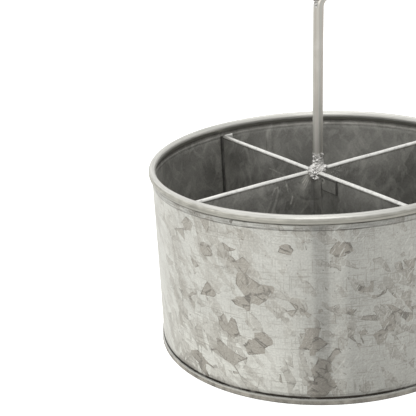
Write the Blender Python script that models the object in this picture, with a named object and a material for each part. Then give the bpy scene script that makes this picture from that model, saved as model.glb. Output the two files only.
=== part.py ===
"""Round galvanised cutlery caddy: rolled-rim tub, cross dividers and a rod handle with a ring.

Run with blender --background --python part.py, or from Blender's text editor.
Sizes are in metres and +Z is up. The origin is the middle of the base, on the table.
The long divider runs along Y and the two half dividers along X.
"""

import math

import bmesh
import bpy
from mathutils import Matrix, Vector

# Sheet, clearances and facets
SHEET = 0.0008
FIT_GAP = 0.0003
ROUND_STEPS = 96
BEND_STEPS = 3

# Tub wall
WALL_RADIUS = 0.0980
TUB_HEIGHT = 0.110
BEAD_DEPTH = 0.00035
BEAD_HEIGHT = 0.0020
BEAD_STEP = 0.0003
BEAD_DROP = 0.0008
SEAM_ANGLE = math.radians(72.0)
SEAM_WIDTH = 0.0040
SEAM_THICKNESS = 0.0008
SEAM_BEVEL = 0.00025
SEAM_END_GAP = 0.0008

# Rolled rim and the wire inside it
RIM_OVERHANG = 0.0020
RIM_WIRE_RADIUS = 0.0010
ROLL_STRETCH = 0.0006
ROLL_NECK = 0.0006
ROLL_START = math.radians(205.0)
ROLL_END = math.radians(-85.0)
ROLL_STEPS = 10
WIRE_SIDES = 6

# Base pan
LIP_HEIGHT = 0.0038
LIP_BEND = 0.0009
WALL_FLOOR_GAP = 0.0004
STANDING_RING = 0.012
PANEL_SLOPE = 0.0030
PANEL_RISE = 0.0012

# Dividers
DIVIDER_DROP = 0.0075
HEM_DEPTH = 0.0042
HEM_SLOT = 0.0012
HEM_STEPS = 6
FLANGE_WIDTH = 0.0070
INNER_FLANGE_WIDTH = 0.0088
INNER_FLANGE_DROP = 0.0045
HEM_END_GAP = 0.0002
DIVIDER_BEND = 0.0024

# Small plate on the front face of the long divider, beside the crossing
PLATE_LENGTH = 0.0140
PLATE_HEIGHT = 0.0086
PLATE_TOP_DROP = 0.0016
PLATE_START = 0.0092
PLATE_CORNER = 0.0022
PLATE_BEVEL = 0.0002

# Handle rod and its ring
ROD_RADIUS = 0.0030
ROD_STANDOFF = 0.0005
ROD_SEAT_DEPTH = 0.0080
ROD_SIDES = 16
NECK_HEIGHT = 0.1975
NECK_BEND = 0.0060
NECK_STEPS = 6
RING_RADIUS = 0.0220
RING_STEPS = 36
RING_END_ANGLE = math.radians(262.0)

# Weld metal
HUB_WELD_HEIGHT = 0.0110
HUB_WELD_RADIUS = 0.0046
HUB_WELD_TOP_WALL = 0.0004
HUB_WELD_STEPS = 10
FRONT_LUMP_RADIUS = 0.0051
RIGHT_LUMP_RADIUS = 0.0039
LUMP_DEPTH = 0.0082
LUMP_CROWN = 0.0020
LOOP_WELD_RADIUS = 0.0050
RIPPLE = 0.00025
RIPPLE_LOBES = 5
RIPPLE_TURNS = 7.0
WELD_SIDES = 20

# Places worked out from the sizes above
ROLL_HALF_WIDTH = RIM_WIRE_RADIUS + FIT_GAP + SHEET
ROLL_HALF_HEIGHT = ROLL_HALF_WIDTH + ROLL_STRETCH
ROLL_RADIUS = WALL_RADIUS + RIM_OVERHANG - ROLL_HALF_WIDTH
ROLL_Z = TUB_HEIGHT - ROLL_HALF_HEIGHT
ROLL_BOTTOM = TUB_HEIGHT - 2.0 * ROLL_HALF_HEIGHT
BEAD_TOP = ROLL_BOTTOM - BEAD_DROP
BEAD_BOTTOM = BEAD_TOP - BEAD_HEIGHT
WALL_INSIDE = WALL_RADIUS - SHEET
FLOOR_TOP = SHEET + PANEL_RISE
DIVIDER_BOTTOM = FLOOR_TOP + FIT_GAP
DIVIDER_TOP = TUB_HEIGHT - DIVIDER_DROP
HEM_SIDE = 1.5 * SHEET + HEM_SLOT
FLANGE_RADIUS = WALL_INSIDE - FIT_GAP - 0.5 * SHEET
LONG_PLANE = -(ROD_RADIUS + ROD_STANDOFF + 0.5 * SHEET)
LEFT_INNER = LONG_PLANE - SHEET - FIT_GAP
RIGHT_INNER = LONG_PLANE + SHEET + FIT_GAP
INNER_FLANGE_TOP = DIVIDER_TOP - INNER_FLANGE_DROP
ROD_BOTTOM = DIVIDER_TOP - ROD_SEAT_DEPTH
RING_RISE = math.sqrt(RING_RADIUS * (RING_RADIUS + 2.0 * NECK_BEND))
RING_Z = NECK_HEIGHT + RING_RISE
SOCKET_RADIUS = ROD_RADIUS + FIT_GAP

# Colour, roughness and metallic value of each finish
FINISHES = {
    "tub_wall": ((0.56, 0.55, 0.53), 0.42, 0.85),
    "rim_wire": ((0.45, 0.45, 0.44), 0.45, 0.90),
    "base_pan": ((0.46, 0.45, 0.44), 0.45, 0.85),
    "long_divider": ((0.40, 0.40, 0.39), 0.42, 0.85),
    "left_half_divider": ((0.42, 0.42, 0.41), 0.42, 0.85),
    "right_half_divider": ((0.42, 0.42, 0.41), 0.42, 0.85),
    "joint_plate": ((0.38, 0.38, 0.37), 0.45, 0.85),
    "handle_rod": ((0.50, 0.49, 0.47), 0.38, 0.85),
    "hub_weld": ((0.62, 0.61, 0.59), 0.35, 0.90),
    "loop_weld": ((0.48, 0.47, 0.46), 0.45, 0.90),
}


# Helpers

def clear_scene():
    """Remove every object of the open file."""
    for old in list(bpy.data.objects):
        bpy.data.objects.remove(old, do_unlink=True)


def finish_material(name):
    """Make the Principled material that carries one piece's colour."""
    colour, roughness, metallic = FINISHES[name]
    material = bpy.data.materials.new(name + "_finish")
    material.use_nodes = True
    shader = material.node_tree.nodes["Principled BSDF"]
    shader.inputs["Base Color"].default_value = (*colour, 1.0)
    shader.inputs["Roughness"].default_value = roughness
    shader.inputs["Metallic"].default_value = metallic
    return material


def add_object(name, bm, smooth_angle=40.0):
    """Turn a bmesh into a named object whose faces point outwards."""
    bmesh.ops.recalc_face_normals(bm, faces=bm.faces)
    if bm.calc_volume(signed=True) < 0.0:
        bmesh.ops.reverse_faces(bm, faces=bm.faces)
    mesh = bpy.data.meshes.new(name)
    bm.to_mesh(mesh)
    bm.free()
    mesh.shade_smooth()
    mesh.set_sharp_from_angle(angle=math.radians(smooth_angle))
    piece = bpy.data.objects.new(name, mesh)
    bpy.context.scene.collection.objects.link(piece)
    if name in FINISHES:
        mesh.materials.append(finish_material(name))
    return piece


def make_cutter(piece):
    """Mark an object as a cutter that isn't part of the model."""
    piece.hide_render = True
    piece.display_type = "WIRE"
    return piece


def combine(piece, other, operation, solver="EXACT"):
    """Add a boolean between a piece and a hidden tool object."""
    modifier = piece.modifiers.new(operation.lower() + "_" + other.name, "BOOLEAN")
    modifier.operation = operation
    modifier.solver = solver
    modifier.object = make_cutter(other)


def arc(centre, radius, start, end, steps):
    """Points on a plane arc from one angle to another, both ends included."""
    points = []
    for i in range(steps + 1):
        angle = start + (end - start) * i / steps
        points.append((centre[0] + radius * math.cos(angle), centre[1] + radius * math.sin(angle)))
    return points


def side_offsets(points):
    """Unit normals to the right of a path, stretched at each corner to keep the thickness."""
    offsets = []
    for i in range(len(points)):
        before = Vector(points[max(i - 1, 0)])
        here = Vector(points[i])
        after = Vector(points[min(i + 1, len(points) - 1)])
        arriving = (here - before) if i > 0 else (after - here)
        leaving = (after - here) if i < len(points) - 1 else arriving
        arriving = arriving.normalized()
        leaving = leaving.normalized()
        bisector = (arriving + leaving).normalized()
        stretch = 1.0 / max(bisector.dot(arriving), 0.5)
        offsets.append(Vector((bisector.y, -bisector.x)) * stretch)
    return offsets


def thicken(midline, thickness):
    """Closed outline of a sheet whose middle line is given."""
    offsets = side_offsets(midline)
    half = 0.5 * thickness
    right = [Vector(p) + n * half for p, n in zip(midline, offsets)]
    left = [Vector(p) - n * half for p, n in zip(midline, offsets)]
    return [tuple(p) for p in right] + [tuple(p) for p in reversed(left)]


def turned(outline, steps):
    """Spin a closed (radius, height) outline about Z."""
    bm = bmesh.new()
    verts = [bm.verts.new((max(r, 0.0), 0.0, z)) for r, z in outline]
    edges = []
    for i in range(len(verts)):
        edges.append(bm.edges.new((verts[i], verts[(i + 1) % len(verts)])))
    bmesh.ops.spin(
        bm,
        geom=verts + edges,
        cent=(0.0, 0.0, 0.0),
        axis=(0.0, 0.0, 1.0),
        angle=math.tau,
        steps=steps,
        use_merge=True,
    )
    bmesh.ops.remove_doubles(bm, verts=bm.verts, dist=1e-6)
    on_axis = [e for e in bm.edges if not e.link_faces]
    bmesh.ops.delete(bm, geom=on_axis, context="EDGES")
    return bm


def swept_sheet(path, section):
    """Sweep a closed (offset to the right, height) section along a plan path."""
    bm = bmesh.new()
    rings = []
    for point, normal in zip(path, side_offsets(path)):
        ring = []
        for offset, z in section:
            ring.append(bm.verts.new((point[0] + normal.x * offset, point[1] + normal.y * offset, z)))
        rings.append(ring)
    count = len(section)
    for near, far in zip(rings, rings[1:]):
        for i in range(count):
            j = (i + 1) % count
            bm.faces.new((near[i], near[j], far[j], far[i]))
    bm.faces.new(rings[0])
    bm.faces.new(list(reversed(rings[-1])))
    return bm


def tube(points, radius, sides):
    """Round bar of constant radius along points that lie in the XZ plane."""
    bm = bmesh.new()
    plan = [(p[0], p[1]) for p in points]
    rings = []
    for point, normal in zip(plan, side_offsets(plan)):
        ring = []
        for i in range(sides):
            angle = math.tau * i / sides
            along = radius * math.cos(angle)
            ring.append(
                bm.verts.new(
                    (point[0] + normal.x * along, radius * math.sin(angle), point[1] + normal.y * along)
                )
            )
        rings.append(ring)
    for near, far in zip(rings, rings[1:]):
        for i in range(sides):
            j = (i + 1) % sides
            bm.faces.new((near[i], near[j], far[j], far[i]))
    bm.faces.new(rings[0])
    bm.faces.new(list(reversed(rings[-1])))
    return bm


def box(low, high):
    """Box between two corners."""
    bm = bmesh.new()
    bmesh.ops.create_cube(bm, size=1.0)
    size = Vector(high) - Vector(low)
    middle = (Vector(high) + Vector(low)) * 0.5
    bmesh.ops.transform(bm, matrix=Matrix.Translation(middle) @ Matrix.Diagonal((*size, 1.0)), verts=bm.verts)
    return bm


def lump(centre, radii):
    """Egg-shaped blob of weld metal with shallow ripples."""
    bm = bmesh.new()
    bmesh.ops.create_uvsphere(bm, u_segments=WELD_SIDES, v_segments=HUB_WELD_STEPS, radius=1.0)
    for vert in bm.verts:
        spin = math.atan2(vert.co.y, vert.co.x)
        fade = 1.0 - vert.co.z * vert.co.z
        swell = 1.0 + fade * (RIPPLE / radii[0]) * math.sin(RIPPLE_LOBES * spin + RIPPLE_TURNS * vert.co.z)
        place = Vector((vert.co.x * radii[0] * swell, vert.co.y * radii[1] * swell, vert.co.z * radii[2]))
        vert.co = Vector(centre) + place
    return bm


# Tub

def rim_midline():
    """Middle line of the sheet from the wall's foot, over the bead and round the rolled rim."""
    wall = WALL_RADIUS - 0.5 * SHEET
    bead = wall + BEAD_DEPTH
    points = [
        (wall, SHEET + WALL_FLOOR_GAP),
        (wall, BEAD_BOTTOM - BEAD_STEP),
        (bead, BEAD_BOTTOM),
        (bead, BEAD_TOP),
        (wall, BEAD_TOP + BEAD_STEP),
    ]
    wide = ROLL_HALF_WIDTH - 0.5 * SHEET
    tall = ROLL_HALF_HEIGHT - 0.5 * SHEET
    for i in range(ROLL_STEPS + 1):
        angle = ROLL_START + (ROLL_END - ROLL_START) * i / ROLL_STEPS
        points.append((ROLL_RADIUS + wide * math.cos(angle), ROLL_Z + tall * math.sin(angle)))
    points.insert(5, (wall, ROLL_BOTTOM - ROLL_NECK + BEAD_STEP))
    return points


def build_side_seam():
    """Flattened lock seam on the inside of the wall, where the rolled sheet's ends meet."""
    half = 0.5 * SEAM_WIDTH / WALL_INSIDE
    inner = arc((0.0, 0.0), WALL_INSIDE - SEAM_THICKNESS, SEAM_ANGLE - half, SEAM_ANGLE + half, BEND_STEPS)
    outer = arc((0.0, 0.0), WALL_INSIDE + 0.5 * SHEET, SEAM_ANGLE + half, SEAM_ANGLE - half, BEND_STEPS)
    bm = bmesh.new()
    foot = FLOOR_TOP + SEAM_END_GAP
    face = bm.faces.new([bm.verts.new((x, y, foot)) for x, y in inner + outer])
    raised = bmesh.ops.extrude_face_region(bm, geom=[face])
    top = [g for g in raised["geom"] if isinstance(g, bmesh.types.BMVert)]
    bmesh.ops.translate(bm, vec=(0.0, 0.0, BEAD_BOTTOM - SEAM_END_GAP - foot), verts=top)
    uprights = []
    for edge in bm.edges:
        a, b = edge.verts
        inside = max(a.co.to_2d().length, b.co.to_2d().length) < WALL_INSIDE
        if inside and abs(a.co.z - b.co.z) > SHEET and len(edge.link_faces) == 2:
            if edge.calc_face_angle() > 1.0:
                uprights.append(edge)
    bmesh.ops.bevel(bm, geom=uprights, offset=SEAM_BEVEL, segments=1, affect="EDGES")
    return add_object("side_seam", bm)


def build_tub_wall():
    """Wall, pressed bead and open rolled rim, turned from one sheet outline."""
    wall = add_object("tub_wall", turned(thicken(rim_midline(), SHEET), ROUND_STEPS))
    combine(wall, build_side_seam(), "UNION")
    return wall


def build_rim_wire():
    """Stiffening wire that the rim is rolled round."""
    outline = arc((ROLL_RADIUS, ROLL_Z), RIM_WIRE_RADIUS, 0.0, math.tau, WIRE_SIDES)
    return add_object("rim_wire", turned(outline[:-1], ROUND_STEPS), 70.0)


def build_base_pan():
    """Pressed base with a raised panel, a flat standing ring and a lip outside the wall."""
    lip = WALL_RADIUS + FIT_GAP + 0.5 * SHEET
    ring_edge = lip - LIP_BEND - STANDING_RING
    low = 0.5 * SHEET
    points = [
        (0.0, low + PANEL_RISE),
        (ring_edge - PANEL_SLOPE, low + PANEL_RISE),
        (ring_edge, low),
    ]
    points += arc((lip - LIP_BEND, low + LIP_BEND), LIP_BEND, -0.5 * math.pi, 0.0, BEND_STEPS)
    points.append((lip, LIP_HEIGHT))
    return add_object("base_pan", turned(thicken(points, SHEET), ROUND_STEPS))


# Dividers

def hemmed_section():
    """Upright sheet section whose top edge is folded over to the right."""
    half = 0.5 * SHEET
    round_radius = 0.5 * (HEM_SIDE + half)
    round_centre = (HEM_SIDE - round_radius, DIVIDER_TOP - round_radius)
    slot_top = DIVIDER_TOP - 1.5 * SHEET
    section = [(-half, DIVIDER_BOTTOM)]
    section += arc(round_centre, round_radius, math.pi, 0.0, HEM_STEPS)
    section += [
        (HEM_SIDE, DIVIDER_TOP - HEM_DEPTH),
        (half + HEM_SLOT, DIVIDER_TOP - HEM_DEPTH),
        (half + HEM_SLOT, slot_top),
        (half, slot_top),
        (half, DIVIDER_BOTTOM),
    ]
    return section


def wall_flange(line_offset):
    """Bend and flange where a sheet at X = line_offset meets the wall at +Y and turns to +X."""
    reach = FLANGE_RADIUS - DIVIDER_BEND
    across = line_offset + DIVIDER_BEND
    centre = (across, math.sqrt(reach * reach - across * across))
    turn = math.atan2(centre[1], centre[0])
    points = arc(centre, DIVIDER_BEND, math.pi, turn, BEND_STEPS)
    points += arc((0.0, 0.0), FLANGE_RADIUS, turn, turn - FLANGE_WIDTH / FLANGE_RADIUS, BEND_STEPS)[1:]
    return points


def build_rod_socket():
    """Clearance cylinder round the foot of the handle rod."""
    bm = bmesh.new()
    depth = ROD_SEAT_DEPTH + 2.0 * FIT_GAP + SHEET
    bmesh.ops.create_cone(
        bm,
        cap_ends=True,
        segments=2 * ROD_SIDES,
        radius1=SOCKET_RADIUS / math.cos(0.5 * math.pi / ROD_SIDES),
        radius2=SOCKET_RADIUS / math.cos(0.5 * math.pi / ROD_SIDES),
        depth=depth,
    )
    middle = ROD_BOTTOM - FIT_GAP + 0.5 * depth
    bmesh.ops.translate(bm, vec=(0.0, 0.0, middle), verts=bm.verts)
    return add_object("rod_socket", bm)


def build_long_divider(socket):
    """Full-width sheet along Y, with a flange against the wall at each end."""
    far_end = wall_flange(LONG_PLANE)
    near_end = [(x, -y) for x, y in reversed(far_end)]
    piece = add_object("long_divider", swept_sheet(near_end + far_end, hemmed_section()))
    combine(piece, socket, "DIFFERENCE")
    return piece


def inner_flange(inner_x):
    """Flange along the long divider's face and its bend, up to where the half divider's hem starts."""
    corner = (inner_x - DIVIDER_BEND, -DIVIDER_BEND)
    return [(inner_x, -INNER_FLANGE_WIDTH)] + arc(corner, DIVIDER_BEND, 0.0, 0.5 * math.pi, BEND_STEPS)


def build_half_divider(name, inner_x, mirrored, socket):
    """Half-width sheet along X: its hem ends before the bend to the flange on the long divider."""
    wall_end = [(-y, x) for x, y in wall_flange(0.0)]
    bm = swept_sheet(inner_flange(inner_x) + wall_end, hemmed_section())
    notch = box(
        (inner_x - DIVIDER_BEND - HEM_END_GAP, -2.0 * INNER_FLANGE_WIDTH, INNER_FLANGE_TOP),
        (inner_x + INNER_FLANGE_WIDTH, INNER_FLANGE_WIDTH, DIVIDER_TOP + HEM_DEPTH),
    )
    if mirrored:
        for half in (bm, notch):
            bmesh.ops.scale(half, vec=(-1.0, 1.0, 1.0), verts=half.verts)
    piece = add_object(name, bm)
    combine(piece, add_object(name + "_notch", notch), "DIFFERENCE")
    combine(piece, socket, "DIFFERENCE")
    return piece


def build_joint_plate():
    """Small plate with one clipped corner, flat against the front of the long divider."""
    face = LONG_PLANE - 0.5 * SHEET - FIT_GAP
    near = -PLATE_START
    far = near - PLATE_LENGTH
    top = DIVIDER_TOP - PLATE_TOP_DROP
    low = top - PLATE_HEIGHT
    outline = [(near, top), (far, top), (far, low), (near - PLATE_CORNER, low), (near, low + PLATE_CORNER)]
    bm = bmesh.new()
    front = bm.faces.new([bm.verts.new((face, y, z)) for y, z in outline])
    grown = bmesh.ops.extrude_face_region(bm, geom=[front])
    back = [g for g in grown["geom"] if isinstance(g, bmesh.types.BMVert)]
    bmesh.ops.translate(bm, vec=(-SHEET, 0.0, 0.0), verts=back)
    bmesh.ops.bevel(bm, geom=list(bm.edges), offset=PLATE_BEVEL, segments=1, affect="EDGES")
    return add_object("joint_plate", bm)


def build_dividers():
    """The four walls of the compartments, cut round the foot of the rod."""
    socket = build_rod_socket()
    build_long_divider(socket)
    build_half_divider("left_half_divider", LEFT_INNER, False, socket)
    build_half_divider("right_half_divider", -RIGHT_INNER, True, socket)


# Handle

def handle_path(extra=0.0):
    """Middle line of the rod: up the stem, round the neck and once round the ring."""
    points = [(0.0, ROD_BOTTOM - extra), (0.0, 0.5 * (ROD_BOTTOM + NECK_HEIGHT))]
    leave = math.atan2(RING_RISE, -NECK_BEND)
    points += arc((NECK_BEND, NECK_HEIGHT), NECK_BEND, math.pi, leave, NECK_STEPS)
    ring_end = RING_END_ANGLE + extra / RING_RADIUS
    return points + arc((0.0, RING_Z), RING_RADIUS, leave - math.pi, ring_end, RING_STEPS)[1:]


def build_handle_rod():
    """Round rod: the stem, and the ring that its upper end is bent into."""
    return add_object("handle_rod", tube(handle_path(), ROD_RADIUS, ROD_SIDES), 50.0)


# Welds

def build_hub_weld():
    """Rough weld round the rod's foot, running down both sides of the long divider."""
    height = HUB_WELD_HEIGHT
    foot = DIVIDER_TOP - SHEET
    outline = []
    for i in range(HUB_WELD_STEPS + 1):
        up = i / HUB_WELD_STEPS
        spread = (HUB_WELD_RADIUS - SOCKET_RADIUS - HUB_WELD_TOP_WALL) * (1.0 - up) ** 2
        bumps = RIPPLE * math.sin(RIPPLE_TURNS * 2.0 * up)
        outline.append((SOCKET_RADIUS + HUB_WELD_TOP_WALL + spread + bumps, foot + height * up))
    outline += [(0.0, foot + height), (0.0, foot)]
    weld = add_object("hub_weld", turned(outline, WELD_SIDES), 60.0)
    middle = DIVIDER_TOP + 0.5 * (LUMP_CROWN - LUMP_DEPTH)
    half_depth = 0.5 * (LUMP_CROWN + LUMP_DEPTH)
    front = lump(
        (LONG_PLANE - SHEET, -SHEET, middle),
        (FRONT_LUMP_RADIUS, FRONT_LUMP_RADIUS, half_depth),
    )
    right = lump(
        (0.5 * ROD_RADIUS, -0.8 * ROD_RADIUS, middle),
        (RIGHT_LUMP_RADIUS, RIGHT_LUMP_RADIUS, half_depth),
    )
    combine(weld, add_object("weld_front_lump", front), "UNION", "MANIFOLD")
    combine(weld, add_object("weld_right_lump", right), "UNION", "MANIFOLD")
    reach = 4.0 * HUB_WELD_RADIUS
    low = DIVIDER_BOTTOM
    high = DIVIDER_TOP + FIT_GAP
    half = 0.5 * SHEET + FIT_GAP
    hem = HEM_SIDE + FIT_GAP
    hem_end = LEFT_INNER - DIVIDER_BEND - HEM_END_GAP + FIT_GAP
    flange_top = INNER_FLANGE_TOP + FIT_GAP
    along_y = box((LONG_PLANE - half, -reach, low), (LONG_PLANE + hem, reach, high))
    left_hem = box((-reach, -half, low), (hem_end, reach, high))
    right_hem = box((0.0, -half, low), (reach, reach, high))
    back = box((-reach, half, low), (reach, reach, high))
    clearance = [(-half, low), (-half, flange_top), (half, flange_top), (half, low)]
    left_flange = swept_sheet(inner_flange(LEFT_INNER) + [(hem_end - half, 0.0)], clearance)
    rod = bmesh.new()
    bmesh.ops.create_cone(
        rod,
        cap_ends=True,
        segments=2 * ROD_SIDES,
        radius1=SOCKET_RADIUS / math.cos(0.5 * math.pi / ROD_SIDES),
        radius2=SOCKET_RADIUS / math.cos(0.5 * math.pi / ROD_SIDES),
        depth=2.0 * (height + ROD_SEAT_DEPTH),
    )
    bmesh.ops.translate(rod, vec=(0.0, 0.0, DIVIDER_TOP), verts=rod.verts)
    gaps = (rod, along_y, left_hem, right_hem, back, left_flange)
    for name, gap in zip(("rod", "long", "left", "right", "back", "flange"), gaps):
        combine(weld, add_object("weld_gap_" + name, gap), "DIFFERENCE", "MANIFOLD")
    return weld


def build_loop_weld():
    """Weld where the ring's end comes back to the stem."""
    ring_foot = RING_Z - RING_RADIUS
    blob = lump(
        (-0.2 * ROD_RADIUS, 0.0, ring_foot - 0.3 * ROD_RADIUS),
        (LOOP_WELD_RADIUS, LOOP_WELD_RADIUS * 0.85, LOOP_WELD_RADIUS),
    )
    weld = add_object("loop_weld", blob, 60.0)
    clearance = tube(handle_path(FIT_GAP), SOCKET_RADIUS + 0.5 * FIT_GAP, ROD_SIDES)
    combine(weld, add_object("weld_gap_loop", clearance), "DIFFERENCE")
    return weld


def main():
    """Build the caddy."""
    clear_scene()
    build_tub_wall()
    build_rim_wire()
    build_base_pan()
    build_dividers()
    build_joint_plate()
    build_handle_rod()
    build_hub_weld()
    build_loop_weld()


main()
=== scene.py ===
"""Galvanised cutlery caddy, dressed: fine sheet-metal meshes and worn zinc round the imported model.

Sizes are in metres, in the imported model's own frame: +Z up, the long divider along Y.
"""

import math
from collections import namedtuple

import bmesh
import bpy
from bpy.props import FloatProperty, FloatVectorProperty, IntProperty, PointerProperty
from bpy.types import Operator, Panel, PropertyGroup
from mathutils import Matrix, Vector, noise


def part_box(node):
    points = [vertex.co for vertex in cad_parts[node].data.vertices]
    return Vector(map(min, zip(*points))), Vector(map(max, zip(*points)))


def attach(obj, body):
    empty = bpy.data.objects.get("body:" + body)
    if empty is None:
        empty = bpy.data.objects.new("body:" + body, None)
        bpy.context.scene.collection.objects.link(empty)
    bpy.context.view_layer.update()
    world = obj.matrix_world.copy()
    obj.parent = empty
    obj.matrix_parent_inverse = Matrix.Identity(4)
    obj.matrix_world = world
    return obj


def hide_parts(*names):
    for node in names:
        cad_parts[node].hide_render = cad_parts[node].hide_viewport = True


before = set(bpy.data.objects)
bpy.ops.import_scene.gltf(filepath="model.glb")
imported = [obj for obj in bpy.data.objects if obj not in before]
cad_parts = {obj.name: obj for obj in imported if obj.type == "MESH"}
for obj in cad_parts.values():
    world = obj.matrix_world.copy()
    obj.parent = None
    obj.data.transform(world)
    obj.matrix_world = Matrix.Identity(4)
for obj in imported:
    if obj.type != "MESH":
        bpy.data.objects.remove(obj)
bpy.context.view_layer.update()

bl_info = {
    "name": "Galvanised Cutlery Caddy",
    "version": (1, 0, 0),
    "blender": (4, 5, 0),
    "location": "View3D > Sidebar > Caddy",
    "description": "Builds the dressed sheet-metal caddy round its packed model",
    "category": "Object",
}

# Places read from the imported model
TUB_LOW, TUB_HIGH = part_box("tub_wall")
BASE_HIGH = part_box("base_pan")[1]
LONG_LOW, LONG_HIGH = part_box("long_divider")
LEFT_LOW, LEFT_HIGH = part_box("left_half_divider")
RIGHT_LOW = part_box("right_half_divider")[0]
PLATE_LOW, PLATE_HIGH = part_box("joint_plate")
ROD_LOW, ROD_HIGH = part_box("handle_rod")
HUB_LOW, HUB_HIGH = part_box("hub_weld")
LOOP_LOW, LOOP_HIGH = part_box("loop_weld")
BODY = "root"

# The side the picture is taken from, and the directions to its right and to the viewer
FRONT_ANGLE = math.radians(-127.4)
TO_RIGHT = Vector((-math.sin(FRONT_ANGLE), math.cos(FRONT_ANGLE), 0.0))
TO_VIEWER = Vector((math.cos(FRONT_ANGLE), math.sin(FRONT_ANGLE), 0.0))

# Heights of the painted shade lines under the roll and under the bead, and the colours of painted shade
ROLL_LINE = TUB_HIGH.z - 0.0054
BEAD_LINE = TUB_HIGH.z - 0.0087
SHADE_LINE_COLOUR = (0.030, 0.026, 0.020)
WALL_SHADE = (0.085, 0.078, 0.066)
CORNER_SHADE = (0.022, 0.021, 0.018)

# Painted dark reflection band on the outer wall's front, and painted shade to its right: where it starts
# left of the front, how many of its lengths make a metre, and its shades as (part of the way, factor)
SHADE_BAND_LEFT = 0.050
SHADE_BAND_SCALE = 6.757
SHADE_BAND_STOPS = (
    (0.068, 1.0), (0.215, 0.90), (0.263, 0.83), (0.302, 0.76), (0.320, 0.57), (0.357, 0.56),
    (0.372, 0.72), (0.405, 0.77), (0.445, 0.62), (0.68, 0.72), (0.88, 0.80), (1.0, 0.95),
)

# Flakes per metre, and how far uneven edges shift them on the sheet map
FLAKE_SCALE = 122.0
FLAKE_NUDGE = 0.0035

# Big flakes of the outer wall: degrees right of the front, height, reach, strength
FLAKE_SPOTS = (
    (-20.9, 0.0660, 0.0078, 1.00), (-25.7, 0.0565, 0.0042, 0.90), (-10.7, 0.0905, 0.0034, 0.90),
    (-5.5, 0.0778, 0.0041, 0.90), (-30.1, 0.0887, 0.0060, 0.80), (-3.0, 0.0386, 0.0056, 1.00),
    (-18.7, 0.0365, 0.0065, 0.95), (-28.7, 0.0423, 0.0055, 0.80), (-24.0, 0.0289, 0.0042, 0.85),
    (-44.6, 0.0127, 0.0055, 0.80), (-1.5, 0.0130, 0.0065, 0.85), (-37.5, 0.0580, 0.0050, 0.75),
    (5.5, 0.0890, 0.0045, 0.80),
)

# Scratches on the dividers: start, end, half width, strength
SCRATCHES = (
    ((-0.0240, -0.0004, 0.1005), (-0.0230, -0.0004, 0.0979), 0.0008, 0.42),
    ((-0.0230, -0.0004, 0.0979), (-0.0222, -0.0004, 0.0938), 0.0009, 0.60),
    ((-0.0222, -0.0004, 0.0938), (-0.0193, -0.0004, 0.0898), 0.0008, 0.52),
    ((-0.0193, -0.0004, 0.0898), (-0.0207, -0.0004, 0.0860), 0.0010, 0.75),
    ((-0.0335, -0.0004, 0.0943), (-0.0315, -0.0004, 0.0978), 0.0010, 0.34),
    ((-0.0315, -0.0004, 0.0978), (-0.0297, -0.0004, 0.0981), 0.0010, 0.36),
    ((-0.0297, -0.0004, 0.0981), (-0.0290, -0.0004, 0.0953), 0.0010, 0.32),
    ((-0.0290, -0.0004, 0.0953), (-0.0310, -0.0004, 0.0905), 0.0012, 0.26),
    ((-0.0310, -0.0004, 0.0900), (-0.0345, -0.0004, 0.0830), 0.0014, 0.26),
    ((-0.0345, -0.0004, 0.0905), (-0.0380, -0.0004, 0.0845), 0.0013, 0.20),
    ((-0.0043, 0.0440, 0.0930), (-0.0043, 0.0360, 0.0927), 0.0008, 0.55),
    ((-0.0043, 0.0360, 0.0927), (-0.0043, 0.0290, 0.0922), 0.0008, 0.40),
    ((-0.0043, 0.0290, 0.0922), (-0.0043, 0.0200, 0.0914), 0.0007, 0.22),
)

# Streaks of spatter that fan out from the weld: start, end, half width, strength
STREAKS = (
    ((-0.0067, -0.0004, 0.1015), (-0.0113, -0.0004, 0.0966), 0.0009, 0.80),
    ((-0.0062, -0.0004, 0.1004), (-0.0103, -0.0004, 0.0950), 0.0008, 0.85),
    ((-0.0058, -0.0004, 0.0994), (-0.0098, -0.0004, 0.0930), 0.0009, 0.70),
    ((-0.0075, -0.0004, 0.1012), (-0.0121, -0.0004, 0.0985), 0.0008, 0.55),
    ((-0.0054, -0.0004, 0.0980), (-0.0080, -0.0004, 0.0918), 0.0007, 0.50),
    ((-0.0103, -0.0004, 0.0950), (-0.0108, -0.0004, 0.0922), 0.0006, 0.85),
    ((-0.0094, -0.0004, 0.0932), (-0.0084, -0.0004, 0.0905), 0.0005, 0.32),
)

# Fan of spatter, middles of the heat rings and the splash, and a drip on the long divider
FAN_LINE = ((-0.0070, -0.0004, 0.1005), (-0.0108, -0.0004, 0.0945))
HEAT_SPOT = (-0.0055, -0.0004, 0.0970)
SPLASH_SPOT = (0.0105, -0.0004, 0.0985)
DRIP_SPOT = (-0.0050, -0.0109, 0.0986)

# Where the dividers meet the wall, in plan: painted shade in these corners
DARK_CORNERS = ((-0.0048, 0.0964), (-0.0048, -0.0964), (-0.0964, -0.0008), (0.0964, -0.0008))

# Weld lumps at the crossing, in metres: right, nearer, above the dividers, width, height
WELD_LUMPS = (
    (-0.0028, 0.0030, -0.0024, 0.0038, 0.0054),
    (-0.0010, 0.0040, -0.0030, 0.0032, 0.0046),
    (-0.0041, 0.0070, -0.0030, 0.0009, 0.0009),
    (-0.0019, 0.0076, -0.0046, 0.0009, 0.0009),
    (-0.0002, 0.0074, -0.0040, 0.0008, 0.0008),
    (0.0020, 0.0020, -0.0012, 0.0027, 0.0034),
    (0.0042, 0.0014, 0.0010, 0.0015, 0.0014),
    (-0.0026, 0.0019, 0.0074, 0.0007, 0.0007),
    (-0.0027, 0.0019, 0.0047, 0.0006, 0.0006),
    (-0.0006, 0.0033, 0.0052, 0.0006, 0.0006),
    (0.0014, 0.0030, 0.0068, 0.0005, 0.0005),
    (0.0029, 0.0017, 0.0088, 0.0006, 0.0006),
    (0.0021, 0.0024, 0.0096, 0.0005, 0.0005),
)

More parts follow.
